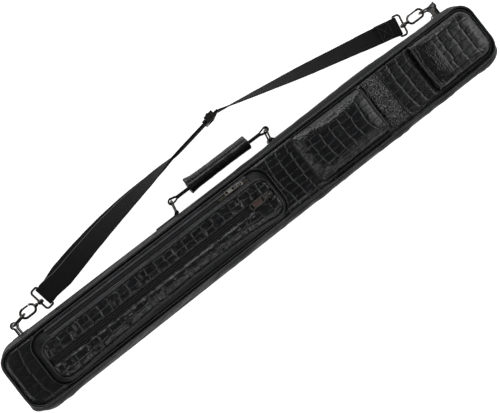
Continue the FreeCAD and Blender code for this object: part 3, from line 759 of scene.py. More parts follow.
def piping(name, path, radius, body, replaced, seed, mat=PIPING):
    p, s = resample(path, 2.2, True)
    radius = radius * (1 + 0.05 * layered(s / 6.0, seed, seed))
    make(name, sweep(p, radius, closed=True), mat, body, replaced)


def base_cord(name, box, radius, keep):
    """Cord round a pocket's base, where keep(x) is true."""
    path = rounded_path(grow(box, 0.9), radius + 0.9, FACE_Z + 0.9, 1.8)
    cord = sweep(opened(path, keep(path[:, 0])), 0.95, 8)
    make(name, cord, TAB, FRONT)


# ------------------------------------------------------------ case outline
def outline(z):
    """Box and corner radius of the shells at height z; widest at mid height."""
    s = np.sin(np.radians(90 * np.clip(1 - np.abs(z - MID_Z) / RIM_DROP, 0, 1)))
    box = (-HALF_LENGTH - 3.5 * s, HALF_LENGTH + 3.5 * s,
           -HALF_WIDTH - 12.5 * s, HALF_WIDTH + 7.0 * s)
    return box, CORNER + 6.0 * s


def near_wall(z):
    return outline(z)[0][3]


MID_BOX, MID_CORNER = outline(MID_Z)


def seam(points):
    """Wanders the lid's far long seam outward."""
    points = np.array(points, float)
    x, y, z = [points[..., k] for k in range(3)]
    points[..., 1] = y - (np.interp(x, SEAM_X, SEAM_SHIFT) * ease((-28 - y) / 15)
                          * ease((z - 50) / 20))
    return points


# ------------------------------------------------------------ face panels
def front_face():
    box, r = grow(FACE_BOX, -2.1), CORNER - 2.1
    end = box[1] - 0.06
    xs = stations(-end, (-380, 59), (16, 66), (90, 92), (208, 20), (252, 22), (420, 28), (end, 12))
    X, Y = rounded_grid(box, r, xs, 105)
    d = inside(X, Y, box, r)
    Z = 72.7 + 2.5 * ease(d / 6.5) + 0.25 * layered(X / 40, Y / 30, 5)
    rim = ease(d / 5.0)
    bottom = X < -200       # larger, softer scales towards the bottom end
    coarse = crocodile(X, Y, 20.0, 15.0, bow=7.0, seed=4, amount=0.75)
    fine = crocodile(X, Y, 18.5, 12.5, bow=5.0, seed=21)
    h, rows, splits, value = [np.where(bottom, a, b) for a, b in zip(coarse, fine)]
    attrs = groove_attrs(rows * np.where(bottom, 0.25, 1) * rim,
                         splits * np.where(bottom, 0.3, 1) * rim, value)
    make("front_face", sheet(np.stack([X, Y, Z], 2), 2.6, h * rim), CROC, FRONT,
         "front_panel", attrs, bend=seam)


def back_face():
    def above_floor(points):
        points[:, 2] = np.maximum(points[:, 2], 0.02)
        return points

    box, r = grow(FACE_BOX, -2.1), CORNER - 2.1
    X, Y = rounded_grid(box, r, np.linspace(-429.85, 429.85, 520), 62)
    Y = Y[:, ::-1]
    rim = ease(inside(X, Y, box, r) / 5.0)
    h, rows, splits, value = crocodile(X, Y, 19.0, 13.0, bow=5.0, seed=71)
    attrs = groove_attrs(rows * rim * 0.6, splits * rim * 0.6, value * 1)
    shape = sheet(np.stack([X, Y, 3.0 - 2.2 * rim], 2), 2.0, np.minimum(h * rim, 0.62))
    attrs["cv"] = np.tile((value * rim).ravel(), 2) if False else attrs["cv"]
    make("back_face", shape, CROC, BACK, "back_panel", attrs,
         bend=above_floor)


front_face()
back_face()


# ------------------------------------------------------------ side walls
def side_wall(name, z0, z1, body, replaced, seed, front):
    levels, count, girth = 22, 640, 2012.0
    loops = []
    for z in np.linspace(z0, z1, levels):
        loop = rounded_path(*outline(z), z)
        loop = np.vstack([loop, loop[:1]])
        at = np.linspace(0, len(loop) - 1, count, endpoint=False)
        loops.append(interp_rows(at, np.arange(len(loop)), loop))
    P = np.stack(loops, 1)
    X, Y, Z = [P[..., k] for k in range(3)]
    s = np.repeat(np.arange(count)[:, None] * (girth / count), levels, 1)
    v = np.clip((Z - z0) / (z1 - z0), 0, 1)
    belly = np.sin(np.pi * v)
    # wrinkles, deeper on the far side; the noise closes round the loop
    profile = belly ** 0.7
    far = ease((-Y - 20) / 25.0)
    turn = s / girth * 2 * math.pi
    lump = layered(np.cos(turn) * 320 / 46, np.sin(turn) * 320 / 46 + Z / 60, seed)
    fine = layered(s / 9.0, Z / 26.0, seed + 3)
    pucker = layered(s / 5.5, Z / 40.0, seed + 8, 2)
    from_edge = np.minimum(v, 1 - v)
    h = profile * lump * (0.9 + 2.1 * far) + profile * fine * (0.3 + 0.5 * far)
    h = h + (1 - ease(from_edge / 0.30)) * pucker * 0.30
    # the soft wall swells unevenly along both long sides
    near_share, far_share = 1.0, 1.0
    if not front:
        near_share = 0.45 * ease((X - 112) / 16) * ease((308 - X) / 16)
        far_share = 0.6
    h = h + belly * (ease((Y - 30) / 14) * near_share * np.interp(X, NEAR_X, NEAR_SWELL)
                     + ease((-Y - 30) / 14) * far_share * np.interp(X, FAR_X, FAR_SWELL))
    ends = ease((np.abs(X) - 424) / 8)
    corner = np.exp(-((X - 428) ** 2 + (Y + 50) ** 2) / 18.0 ** 2)
    h = h + belly * (2.0 * ends + 3.2 * corner)
    # it tucks in just before the piping and the zipper band
    h = h - 0.9 * (1 - ease(from_edge / 0.07))
    ob = make(name, sheet(P, 3.4, h, wrap=True), WALL, body, replaced,
              bend=seam if front else None)
    # plush on the inner side
    ob.data.materials.append(PLUSH)
    slots = np.zeros(len(ob.data.polygons), np.int32)
    side = count * (levels - 1)
    slots[side:2 * side] = 1
    ob.data.polygons.foreach_set("material_index", slots)


side_wall("front_side_wall", MID_Z + WALL_LOW, MID_Z + WALL_HIGH, FRONT, "front_wall", 101, True)
side_wall("back_side_wall", MID_Z - WALL_HIGH, MID_Z - WALL_LOW, BACK, "back_wall", 133, False)


# ------------------------------------------------------------ edge piping
piping("front_edge_piping", seam(rounded_path(FACE_BOX, CORNER, MID_Z + RIM_DROP)), 1.95, FRONT,
       "front_piping", 3)
piping("back_edge_piping", rounded_path(FACE_BOX, CORNER, 2.05), 1.98, BACK, "back_piping", 5)
# thin seam welts between the piping and the wall
WELT_BOX = grow(FACE_BOX, 0.4)
piping("front_welt", seam(rounded_path(WELT_BOX, CORNER, 72.1)), 0.7, FRONT, None, 9, TAB)
piping("back_welt", rounded_path(WELT_BOX, CORNER, 3.9), 0.7, BACK, None, 9, TAB)


# ------------------------------------------------------------ large pocket
def wander(points):
    """Wanders the far edge of the pocket's face, and slightly the near one."""
    points = np.array(points, float)
    x, y, z = [points[..., k].copy() for k in range(3)]
    raised = ease((z - 77) / 9)
    far = ease((-13 - y) / 18) * raised
    shift = np.interp(x, POCKET_X, POCKET_SHIFT)
    y = y + far * (shift + 0.7 * noise(x / 47, 3, 77) + 0.4 * noise(x / 19, 0, 79))
    z = z + far * (0.9 * noise(x / 36, 5, 78) - 0.3)
    near = ease((y - 8) / 14) * ease((z - 77) / 9)
    points[..., 1] = y + near * 0.5 * noise(x / 40, 0, 83)
    points[..., 2] = z
    return points


def gusset():
    """Sloping band round the pocket, with a window for the side zipper."""
    window_low, window_high = 0.235, 0.765      # shares of the slope
    base = matched_loop(POCKET_BASE, POCKET_BASE_R, FACE_Z, 460, 44, 16)
    top = matched_loop(POCKET_TOP, POCKET_TOP_R, POCKET_Z + 0.6, 460, 44, 16)
    mid = (base + top) / 2
    x, y = mid[:, 0], mid[:, 1]
    cut = ((y > 29.9) & (x < -3) & (x > -357))[:, None]
    s = run_length(mid)[:, None]

    def between(picked, share):
        a, b = base[picked][:, None, :], top[picked][:, None, :]
        return a * (1 - share[..., None]) + b * share[..., None]

    t = np.linspace(0, 1, 20)[None, :] * np.where(cut, window_low, 1.0)
    far = ease((-y[:, None] - 10) / 20)
    h = (0.9 + 0.9 * far) * np.sin(np.pi * t) + np.sin(np.pi * t) * 0.55 * layered(
        s / 8, t * 1.6, 41)
    h = h + 0.30 * layered(s / 3.2, t * 2.2, 43) * (0.35 + 0.65 * np.abs(2 * t - 1))
    h = h - 0.5 * np.exp(-((t - 0.03) / 0.05) ** 2)
    band = sheet(between(slice(None), t), 1.8, np.where(cut, h * 0.35, h), wrap=True)
    make("pocket_gusset_band", band, GUSSET, FRONT, "pocket_gusset",
         bend=wander)
    # upper band over the side zipper
    k = np.nonzero((y > 29.9) & (x < -2.2) & (x > -358))[0]
    t = np.linspace(window_high, 1.0, 7)[None, :] * np.ones((len(k), 1))
    h = 0.28 * layered(s[k] / 4.0, t * 6, 45) + 0.25
    make("pocket_gusset_upper", sheet(between(k, t), 1.8, h), GUSSET, FRONT,
         bend=wander)
    # cords beside the window: name, share of the slope, lift, points trimmed at each end,
    # radius, its variation and wavelength, seed, bend
    for name, share, lift, trim, radius, vary, wavelength, seed, bend in (
            ("side_zip_lip_lower", window_low, 0.35, 2, 0.75, 0.08, 7, 51, None),
            ("side_zip_lip_upper", window_high, 0.35, 2, 0.75, 0.08, 7, 53, None),
            ("side_zip_welt_a", 0.07, 0.55, 3, 0.6, 0.10, 9, 55, wander),
            ("side_zip_welt_b", 0.16, 0.55, 3, 0.5, 0.10, 9, 57, wander),
            ("side_zip_welt_c", 0.88, 0.55, 3, 0.55, 0.10, 9, 58, wander)):
        q = base[k] * (1 - share) + top[k] * share + SIDE_NORMAL * lift
        q = q[trim:-trim:3]
        radius = radius * (1 + vary * noise(q[:, 0] / wavelength, 0, seed))
        # these cords take the pale painted highlight colour
        make(name, sweep(q, radius, 8, SIDE_NORMAL), LIP_HIGHLIGHT, FRONT, bend=bend)


def pocket_face(name, columns, seed, pitch_x, pitch_y, replaced, low=-np.inf, high=np.inf):
    """Half of the pocket's face: the upper one starts at low, the lower ends at high."""
    upper = np.isfinite(low)
    box, r = (-374.3, 13.3, -33.8, 20.8), 13.3
    X, Y = rounded_grid(box, r, np.linspace(-374.2, 13.2, 620), columns, low, high)
    d = np.minimum(inside(X, Y, box, r), np.minimum(Y - low, high - Y))
    Z = POCKET_Z + 1.7 + 0.9 * ease(d / 4.0)
    if not upper:
        Z = Z - 0.4 + 2.5 * ease((Y + 33.8) / 13.5) * ease((-10.2 - Y) / 4.5)
        Z = Z + 0.5 * noise(X / 52, Y / 30, 91)
    P = puffed(np.stack([X, Y, Z], 2), (9, 3), pressure=0.7, limit=1.1)
    rim = ease(d / 1.6)
    h, rows, splits, value = crocodile(
        X, Y - max(low, box[2]) - 10, pitch_x, pitch_y, bow=1.2, seed=seed, half=60.0,
        crowd=0.0, jitter_x=0.12, jitter_y=0.16, wobble=0.45)
    attrs = groove_attrs(rows * rim * (1.1 if upper else 0.35),
                         splits * rim * (0.7 if upper else 0.4), value)
    make(name, sheet(P, 1.7, h * rim * (1.0 if upper else 0.8)), CROC, FRONT,
         replaced, attrs, bend=wander)


def pocket_lips():
    """Folded lips beside the centre zipper."""
    x = np.arange(-372, 11.5, 2.0)
    for name, y in (("upper", 0.25), ("lower", -10.25)):
        q = np.stack([x, y + 0.12 * noise(x / 14, 0, 5), POCKET_Z + 2.05 + 0 * x], 1)
        make("pocket_lip_" + name, sweep(q, 0.62, 8), PIPING, FRONT)


gusset()
piping("pocket_base_cord", rounded_path(grow(POCKET_BASE, 1.5), POCKET_BASE_R + 1.5, FACE_Z + 1.4),
       1.38, FRONT, "pocket_base_piping", 15)
piping("pocket_edge_cord", wander(rounded_path(POCKET_TOP, POCKET_TOP_R, POCKET_Z + 1.7, 1.6)),
       1.62, FRONT, "pocket_piping", 17)
pocket_face("pocket_face_upper", 34, 211, 16.5, 19.0, "pocket_front_upper", low=0.35)
pocket_face("pocket_face_lower", 38, 223, 19.0, 11.0, "pocket_front_lower", high=-10.35)
pocket_lips()


# ------------------------------------------------------------ pocket zippers
def zip_tapes(name, origin, across, normal, x0, x1, seed):
    """Two flat ribbed tapes, one on each side of the chain."""
    xs = np.linspace(x0, x1, int((x1 - x0) / 1.4))
    for suffix, low, high, replaced in (("_a", 0.35, 5.0, name), ("_b", -5.0, -0.35, None)):
        X, Y = np.meshgrid(xs, np.linspace(low, high, 9), indexing="ij")
        Z = -0.12 + 0.10 * layered(X / 9, Y / 3, seed)
        Z = Z + 0.06 * np.cos((Y - low) / (high - low) * 6 * math.pi)
        P = np.array(origin) + sum(
            values[..., None] * np.array(axis)
            for values, axis in ((X, (1, 0, 0)), (Y, across), (Z, normal)))
        make(name + suffix, sheet(P, 0.8, normal=normal), TAPE, FRONT, replaced)
        seed += 1


def chain(name, origin, x0, x1, normal, replaced=None, mat=COIL):
    """Both coil rows of a straight zipper along X."""
    ends = [np.array(origin) + (x, 0, 0) for x in (x0, x1)]
    size = (2.1, 2.65, 1.45, 1.75)
    rows = [teeth(ends, normal, side, size, offset, 0.92)
            for side, offset in ((1, 0.0), (-1, size[0] / 2))]
    make(name, join(*rows), mat, FRONT, replaced)


zip_tapes("pocket_zip_tape", ZIP_ORIGIN, (0, 1, 0), UP, -373, 12, 5)
zip_tapes("side_zip_tape", SIDE_ORIGIN, SIDE_ACROSS, SIDE_NORMAL, -361.5, 1.5, 7)
chain("pocket_zip_teeth", ZIP_ORIGIN, -369, 11, UP, "pocket_zip_coil")
chain("side_zip_teeth", SIDE_ORIGIN, -358, -57, SIDE_NORMAL, "side_zip_coil")
# the stretch of chain beside the side slider gets the painted highlight colour
chain("side_zip_teeth_highlight", SIDE_ORIGIN, -56, -2, SIDE_NORMAL, mat=COIL_HIGHLIGHT)


# ------------------------------------------------------------ open pouch
def hood_grid(base, base_r, top, top_r, top_z, xs, columns):
    """Grid that rises from a base outline to a smaller top outline. Also returns the
    distance inside the base."""
    X, Y = rounded_grid(base, base_r, xs, columns, power=0.86)
    from_base = np.maximum(inside(X, Y, base, base_r), 0)
    to_top = np.maximum(-inside(X, Y, top, top_r), 0)
    share = np.where(to_top <= 0, 1.0, from_base / np.maximum(from_base + to_top, 1e-6))
    low = FACE_Z + 0.1
    Z = low + (top_z - low) * np.sin(share * math.pi / 2) ** 1.15
    return np.stack([X, Y, Z], 2), from_base


def pouch():
    base, base_r = (82.0, 240.0, -41.0, 40.0), 9.0
    P, from_base = hood_grid(base, base_r, (103.0, 236.0, -31.0, 31.0), 14.0, 86.2,
                             stations(82.04, (93, 23), (208.6, 153)), 126)
    P = puffed(P, (4, 4), pressure=0.45, limit=2.6, shrink=-0.004, bend=0.8)
    X, Y = P[..., 0], P[..., 1]
    # the leather sags into soft rolls across the pouch
    P[..., 2] += ease(from_base / 8) * (0.9 * noise(X / 34 + 0.3, Y / 60, 305)
                                        + 0.4 * layered(X / 15, Y / 13, 307))
    rim = ease(from_base / 3.0)
    large = crocodile(X, Y, 18.0, 12.0, bow=6.0, seed=31, crowd=0.25, amount=0.9, wobble=1.2)
    small = crocodile(X, Y, 6.0, 5.2, bow=1.0, seed=37, crowd=0.0, amount=0.6,
                      jitter_x=0.6, jitter_y=0.6)
    near = ease((Y - 17 + 3 * noise(X / 16, 0, 39)) / 9)
    h, rows, splits = [a * (1 - near) + b * near * share
                       for a, b, share in zip(large, small, (1.0, 0.5, 0.5))]
    make("pouch_shell", sheet(P, 1.9, h * rim), CROC, FRONT, "pouch_body",
         groove_attrs(rows * rim * 0.85, splits * rim * 0.8, large[3]))
    # rolled rim across the mouth
    edge = P[-1]
    edge = edge[(edge[:, 1] > -40.6) & (edge[:, 1] < 39.6)]
    q, s = resample(edge + (1.8, 0, 0), 1.5)
    q[:, 0] += 0.5 * noise(q[:, 1] / 14, 0, 12)
    radius = 1.75 * (1 + 0.05 * noise(s / 6, 0, 13))
    make("pouch_rim", sweep(q - (0, 0, 0.5), radius, up=(1, 0, 0)), PIPING, FRONT,
         "pouch_binding")
    base_cord("pouch_seam_cord", base, base_r, lambda x: x < 214)


pouch()


# ------------------------------------------------------------ flat panels
def flat_grid(x0, x1, rows, columns):
    """Grid across the face between x0 and x1, and the distance to its edge."""
    half = 41.4
    X, Y = np.meshgrid(np.linspace(x0, x1, rows), np.linspace(-half, half, columns),
                       indexing="ij")
    return X, Y, np.minimum(np.minimum(X - x0, x1 - X), np.minimum(Y + half, half - Y))


def gloss_band():
    X, Y, d = flat_grid(218.4, 249.2, 110, 250)
    row_edge, cell_edge, _ = cells(X + 3 * layered(X / 14, Y / 14, 401),
                                   Y + 3 * layered(X / 14 + 7, Y / 14, 403),
                                   5.4, 4.4, 0.85, 0.85, 405)
    h = 0.95 * (1 - np.exp(-np.minimum(row_edge, cell_edge) / 0.9))
    h = h + 1.1 * layered(X / 7, Y / 7, 407) + 0.45 * layered(X / 2, Y / 2, 409, 2)
    P = np.stack([X, Y, FACE_Z + 0.85 + 0.3 * ease(d / 2)], 2)
    P = puffed(P, (6, 6), pressure=0.28, limit=0.8, shrink=-0.004)
    make("gloss_band", sheet(P, 1.0, 1.25 * h * ease(d / 1.2)), GLOSS, FRONT,
         "gloss_strip")


def mid_face():
    X, Y, d = flat_grid(249.7, 311.4, 150, 130)
    Z = FACE_Z + 0.45 + 0.5 * ease(d / 2) + 0.6 * np.exp(-((X - 253) / 2.0) ** 2)
    h, rows, splits, value = crocodile(X, Y, 17.0, 13.0, bow=4.0, seed=441)
    P = puffed(np.stack([X, Y, Z], 2), (6, 5), pressure=0.12, limit=0.8, shrink=-0.002)
    rim = ease(d / 1.5)
    make("mid_face", sheet(P, 0.9, h * rim), CROC, FRONT, "mid_panel",
         groove_attrs(rows * rim * 0.9, splits * rim * 0.7, value))


gloss_band()
mid_face()
for number, (row_x, lift) in enumerate(((220.6, 2.35), (246.2, 2.35), (251.6, 1.75))):
    stitches("face_stitch_%d" % number,
             [(row_x, y, FACE_Z + lift) for y in np.linspace(-40, 40, 41)],
             FRONT, UP, pitch=3.6, length=2.5, radius=0.3)


# ------------------------------------------------------------ top pocket
def sewn_band(P, xs):
    """Stitched band beside the hem, laid over the pocket's grid."""
    first, last = np.searchsorted(xs, (321.0, 346.5))
    B = doubled(P[first:last, 4:-4])
    B = np.swapaxes(doubled(np.swapaxes(B, 0, 1)), 0, 1)
    X, Y = B[..., 0], B[..., 1]
    from_edge = np.minimum(X - X.min(), X.max() - X)
    row_edge, cell_edge, _ = cells(X + 2 * layered(X / 9, Y / 9, 561),
                                   Y + 2 * layered(X / 9, Y / 9, 563),
                                   4.6, 3.8, 0.85, 0.85, 565)
    creases = 0.6 * (1 - np.exp(-np.minimum(row_edge, cell_edge) / 0.8))
    creases = creases + 0.35 * layered(X / 5, Y / 4, 553)
    creases = creases * (0.10 + 0.90 * ease((Y + 20) / 8) * ease((16 - Y) / 8))
    h = 1.0 + 0.45 * ease(from_edge / 2) + creases * ease((from_edge - 2) / 4)
    make("top_pocket_sewn_band", sheet(B, 0.1, h), BAND, FRONT,
         "top_pocket_band")
    for number, share in enumerate((0.09, 0.86, 0.96)):
        row = B[int(share * (B.shape[0] - 1)), 6:-6:4] + (0, 0, 1.55)
        stitches("band_stitch_%d" % number, row, FRONT, UP,
                 pitch=3.6, length=2.5, radius=0.32)


def top_pocket():
    base, base_r = (290.0, 425.5, -41.0, 41.0), 20.0
    xs = stations(314.6, (345, 49), (412, 99), (425.45, 33))
    P, from_base = hood_grid(base, base_r, (294.0, 415.0, -34.0, 34.0), 16.0, 83.4, xs, 126)
    P = puffed(P, (4, 4), pressure=0.3, limit=2.0, shrink=-0.004, bend=0.8)
    X, Y = P[..., 0], P[..., 1]
    P[..., 2] += ease(from_base / 8) * (0.5 * noise(X / 30, Y / 40, 505)
                                        + 0.3 * layered(X / 13, Y / 12, 507))
    rim = ease(from_base / 3.0)
    h, rows, splits, value = crocodile(X, Y, 20.0, 13.0, bow=5.0, seed=531, crowd=0.3)
    # bead-like grain on the bevel that faces the top end
    bevel = ease((X - 411) / 4)
    row_edge, cell_edge, _ = cells(X, Y, 2.6, 2.4, 0.7, 0.7, 533)
    beads = 0.55 * (1 - np.exp(-np.minimum(row_edge, cell_edge) / 0.5))
    h = h * (1 - bevel) + beads * bevel
    # the bevel's scale value is raised towards the pale colour: a painted highlight on the bevel
    # facing the top end
    attrs = groove_attrs(rows * rim * (1 - bevel), splits * rim * (1 - bevel) * 0.7,
                         np.maximum(value, bevel * 0.8))
    make("top_pocket_shell", sheet(P, 1.9, h * rim), CROC, FRONT,
         "top_pocket", attrs)
    # rolled hem over the mouth
    edge = P[0]
    q, s = resample(edge[np.abs(edge[:, 1]) < 40.6], 1.4)
    y = q[:, 1]
    q[:, 0] += -0.6 - 2.2 * (1 - (y / 41) ** 2) + 0.4 * noise(y / 13, 0, 21)
    radius = 1.9 * (1 + 0.05 * noise(s / 7, 0, 22))
    make("top_pocket_hem", sweep(q - (0, 0, 0.2), radius, 14, (1, 0, 0)), PIPING, FRONT,
         "top_pocket_binding")
    sewn_band(P, xs)
    base_cord("top_pocket_seam_cord", base, base_r, lambda x: x > 316)


top_pocket()


# ------------------------------------------------------------ main zipper
def zip_path(offset, z, step):
    """Round both ends and the near side at mid height, open on the hinge side."""
    path = rounded_path(grow(MID_BOX, offset), MID_CORNER + offset, z, 1.0, 24)
    return resample(opened(path, path[:, 1] > -40.0), step)[0]


def outward(p):
    t = np.gradient(p, axis=0)
    return unit(np.stack([t[:, 1], -t[:, 0], 0 * t[:, 0]], 1))


def main_zip(half, side, body):
    """One half of the zipper: side is 1 above the chain, -1 below it."""
    inset, columns = -1.1, 9
    base = zip_path(inset, MID_Z, 1.5)
    n = outward(base)
    t = np.linspace(0, 1, columns)
    P = np.repeat(base[:, None, :], columns, 1)
    P[..., 2] = MID_Z + side * (0.55 + 5.05 * t)
    s = np.arange(len(base))[:, None] * 1.5
    h = 0.10 * np.cos(t * 6 * math.pi) + 0.15 * layered(s / 12, t[None, :] * 2, 61)
    P = P + n[:, None, :] * h[..., None]
    make("main_zip_tape_" + half, sheet(P, 0.9, normal=n[:, None, :]), TAPE, body,
         "main_tape_" + half)
    size = (2.3, 2.7, 1.5, 1.7)
    offset = 0.0 if side > 0 else size[0] / 2
    verts, faces = teeth(zip_path(inset, MID_Z, 1.0), outward, 1, size, offset, 0.75)
    verts[:, 2] = MID_Z + side * (verts[:, 2] - MID_Z)
    make("main_zip_teeth_" + half, (verts, faces), COIL, body,
         "main_coil_" + half)
    # welt where the wall's leather turns in beside the tape
    make("wall_welt_" + half, sweep(zip_path(0.1, MID_Z + side * 5.4, 2.0), 0.8, 8), TAB,
         body)


def main_stops():
    """End stops, seated on the chain where it turns toward the hinge."""
    q = zip_path(-1.1, 36.45, 0.75)
    n = outward(q)
    clips = [sweep(q[k:k + 5] + n[k:k + 5] * 0.95, 1.25, 10) for k in (1, len(q) - 6)]
    make("main_zip_stop_clips", join(*clips), GUN, BACK, "main_zip_stops")


def hinge():
    """Strip along the far side between the two shells; it rides neither shell."""
    low, high = 32.9, 43.1
    X, Z = np.meshgrid(np.linspace(-407, 407, 320), np.linspace(low, high, 25), indexing="ij")
    v = (Z - low) / (high - low)
    Y = -57.75 - 0.35 * np.sin(v * math.pi) - 0.12 * np.cos(v * 10 * math.pi)
    Y = Y - 0.1 * layered(X / 8, Z / 3, 71)
    ob = make("hinge_fabric", sheet(np.stack([X, Y, Z], 2), 0.8), TAPE, None,
              "hinge_strip")
    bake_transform(ob)


main_zip("front", 1, FRONT)
main_zip("back", -1, BACK)
main_stops()
hinge()


# ------------------------------------------------------------ interior
def tray(name, face_z, floor_z, channels, depth, up, body, replaced):
    """Plush block with long channels, each given as (y low, y high). up is the side it
    opens to."""
    half_x, half_y, r, channel_end = 427.0, 41.5, 14.0, 385
    edges = [y for channel in channels for y in channel]
    ys = [np.linspace(-half_y, half_y, 60)] + [np.linspace(y - 2.6, y + 2.6, 12) for y in edges]
    ys = np.unique(np.round(np.concatenate(ys), 3))
    ys = ys[np.abs(ys) <= half_y]
    xs = [np.linspace(-half_x + 0.05, half_x - 0.05, 300)]
    xs += [np.linspace(x - 3, x + 3, 12) for x in (-channel_end, channel_end)]
    xs = np.unique(np.round(np.concatenate(xs), 3))
    over = np.maximum(0, np.abs(xs) - (half_x - r))
    width = (half_y - (r - np.sqrt(np.maximum(r * r - over * over, 0))))[:, None]
    Y = np.clip(ys[None, :], -width, width)
    X = np.broadcast_to(xs[:, None], Y.shape).copy()
    dip = np.zeros(Y.shape)
    for a, b in channels:
        inner = ease((Y - a + 1.6) / 3.2) * ease((b + 1.6 - Y) / 3.2)
        inner = inner * ease((X + 386.5) / 3.2) * ease((386.5 - X) / 3.2)
        floor = 1 - 0.10 * (2 * (Y - (a + b) / 2) / (b - a)) ** 2
        dip = np.maximum(dip, inner * np.clip(floor, 0.8, 1))
    from_edge = np.minimum(width - np.abs(Y), half_x - np.abs(X))
    nap = 0.35 * layered(X / 11, Y / 11, 611) + 0.15 * layered(X / 3.2, Y / 3.2, 613)
    Z = face_z - up * (dip * depth + 1.2 * (1 - ease(from_edge / 3.0))) + up * (nap - 0.5) * 0.8
    make(name, two_sided(np.stack([X, Y, Z], 2), UP, 0.0, Z - floor_z), PLUSH, body,
         replaced)


def elastic_band(name, profile, x0, x1, body, replaced, seed):
    """Band across the case from (y, z) points, ribbed along its length."""
    p, s = resample([(0, y, z) for y, z in profile], 0.8)
    P = np.repeat(p[:, None, :], 34, 1)
    P[..., 0] = np.linspace(x0, x1, 34)
    h = 0.10 * np.cos(P[..., 0] * 2 * math.pi / 2.1)
    h = h + 0.10 * layered(s[:, None] / 5, P[..., 0] / 8, seed)
    make(name, sheet(P, 0.9, h), ELASTIC, body, replaced)


tray("cue_tray_plush", 32.0, 3.25, [(-35, -1), (1, 35)], 25.0, 1, BACK, "cue_tray")
tray("shaft_tray_plush", 44.3, 71.95, [(-37, -15), (-11, 11), (15, 37)], 24.0, -1, FRONT,
     "shaft_tray")

BAND_WIDTH = 26
# (y, z) from the near edge to the middle; the far half mirrors it
BUTT_HALF = [(40.8, 32.9), (38.0, 33.2), (36.4, 34.6), (35.3, 39.6), (33.2, 41.3), (0, 41.75)]
BUTT_PROFILE = [(-y, z) for y, z in BUTT_HALF[:-1]] + BUTT_HALF[::-1]
SHAFT_PROFILE = [(-40.8, 43.1), (0, 42.85), (40.8, 43.1)]
# the x order sets which way each band's ribbed side faces
elastic_band("butt_band_1", BUTT_PROFILE, -250 + BAND_WIDTH, -250, BACK, "butt_bands", 81)
elastic_band("butt_band_2", BUTT_PROFILE, 250 + BAND_WIDTH, 250, BACK, None, 82)
elastic_band("shaft_band_1", SHAFT_PROFILE, -150, -150 + BAND_WIDTH, FRONT, "shaft_bands", 85)
elastic_band("shaft_band_2", SHAFT_PROFILE, 124, 124 + BAND_WIDTH, FRONT, None, 86)


# ------------------------------------------------------------ handle
def grip():
    """Round leather wrap with a flat sewn flange on its outer (+Y) side."""
    x0, x1 = -70.15, 41.85
    xs = np.linspace(x0, x1, 190)[:, None]
    a = np.linspace(0, 2 * math.pi, 72, endpoint=False)[None, :]
    u = (xs - x0) / (x1 - x0)
    flare = 1.0 + 0.15 * np.exp(-(u / 0.07) ** 2) + 0.05 * np.exp(-((1 - u) / 0.06) ** 2)
    r = 9.1 * (1 - 0.05 * np.sin(u * math.pi)) * flare
    flange = np.exp(-(np.minimum(a, 2 * math.pi - a) / 0.30) ** 4)
    reach = 4.9 + np.exp(-(u / 0.08) ** 2) + 0.35 * noise(xs / 16.0, 0, 91)
    Y = GRIP_Y + r * np.cos(a) + flange * reach
    Z = ANCHOR_Z + r * np.sin(a) * (1 - 0.35 * flange)
    X = np.broadcast_to(xs, Y.shape)
    A = np.broadcast_to(a * 9.3, Y.shape)
    P = np.stack([X, Y, Z], 2)
    ends = ease(np.minimum(X - x0, x1 - X) / 3.0)
    h, rows, splits, value = crocodile(X, np.mod(A + 29, 58.4) - 29, 15.0, 11.0, bow=1.5,
                                       seed=61, half=90.0, crowd=0.0, amount=0.3)
    h = h + 0.25 * layered(X / 12, A / 9, 93)
    P = P + normals(P, wrap_columns=True) * (h * ends)[..., None]
    count, sides = Y.shape
    parts = [P.reshape(-1, 3)]
    faces = quads(grid_index(count, sides, False, True)).tolist()
    total = count * sides
    # turned-in ends: scale of each ring and its x from the wrap's end, inward positive
    for start, end_x, inward in ((0, x0, 1), (count - 1, x1, -1)):
        ring = P[start]
        centre = ring.mean(0)
        previous = start * sides
        for scale, dx in ((0.9, -0.9), (0.62, -0.6), (0.36, 1.6)):
            q = centre + (ring - centre) * scale
            q[:, 0] = end_x + inward * dx
            parts.append(q)
            for j in range(sides):
                k = (j + 1) % sides
                faces.append([previous + j, previous + k, total + k, total + j])
            previous = total
            total += sides
        parts.append([(end_x + inward * 1.8, centre[1], centre[2])])
        faces += [[previous + j, previous + (j + 1) % sides, total] for j in range(sides)]
        total += 1
    capped = np.zeros(total - count * sides)
    attrs = {"gt": np.r_[(rows * ends * 0.2).ravel(), capped],
             "gl": np.r_[(splits * ends * 0.2).ravel(), capped],
             "cv": np.r_[value.ravel(), capped]}
    make("handle_wrap", (np.vstack(parts), faces), GRIP, "handle",
         "handle_grip", attrs)
    for side, z in (("top", 1), ("under", -1)):
        row = [(x, GRIP_Y + 11.0, ANCHOR_Z + z * 2.95) for x in np.linspace(x0 + 4, x1 - 4, 40)]
        stitches("handle_stitch_" + side, row, "handle", (0, 0, z),
                 pitch=3.8, length=2.7, radius=0.33)


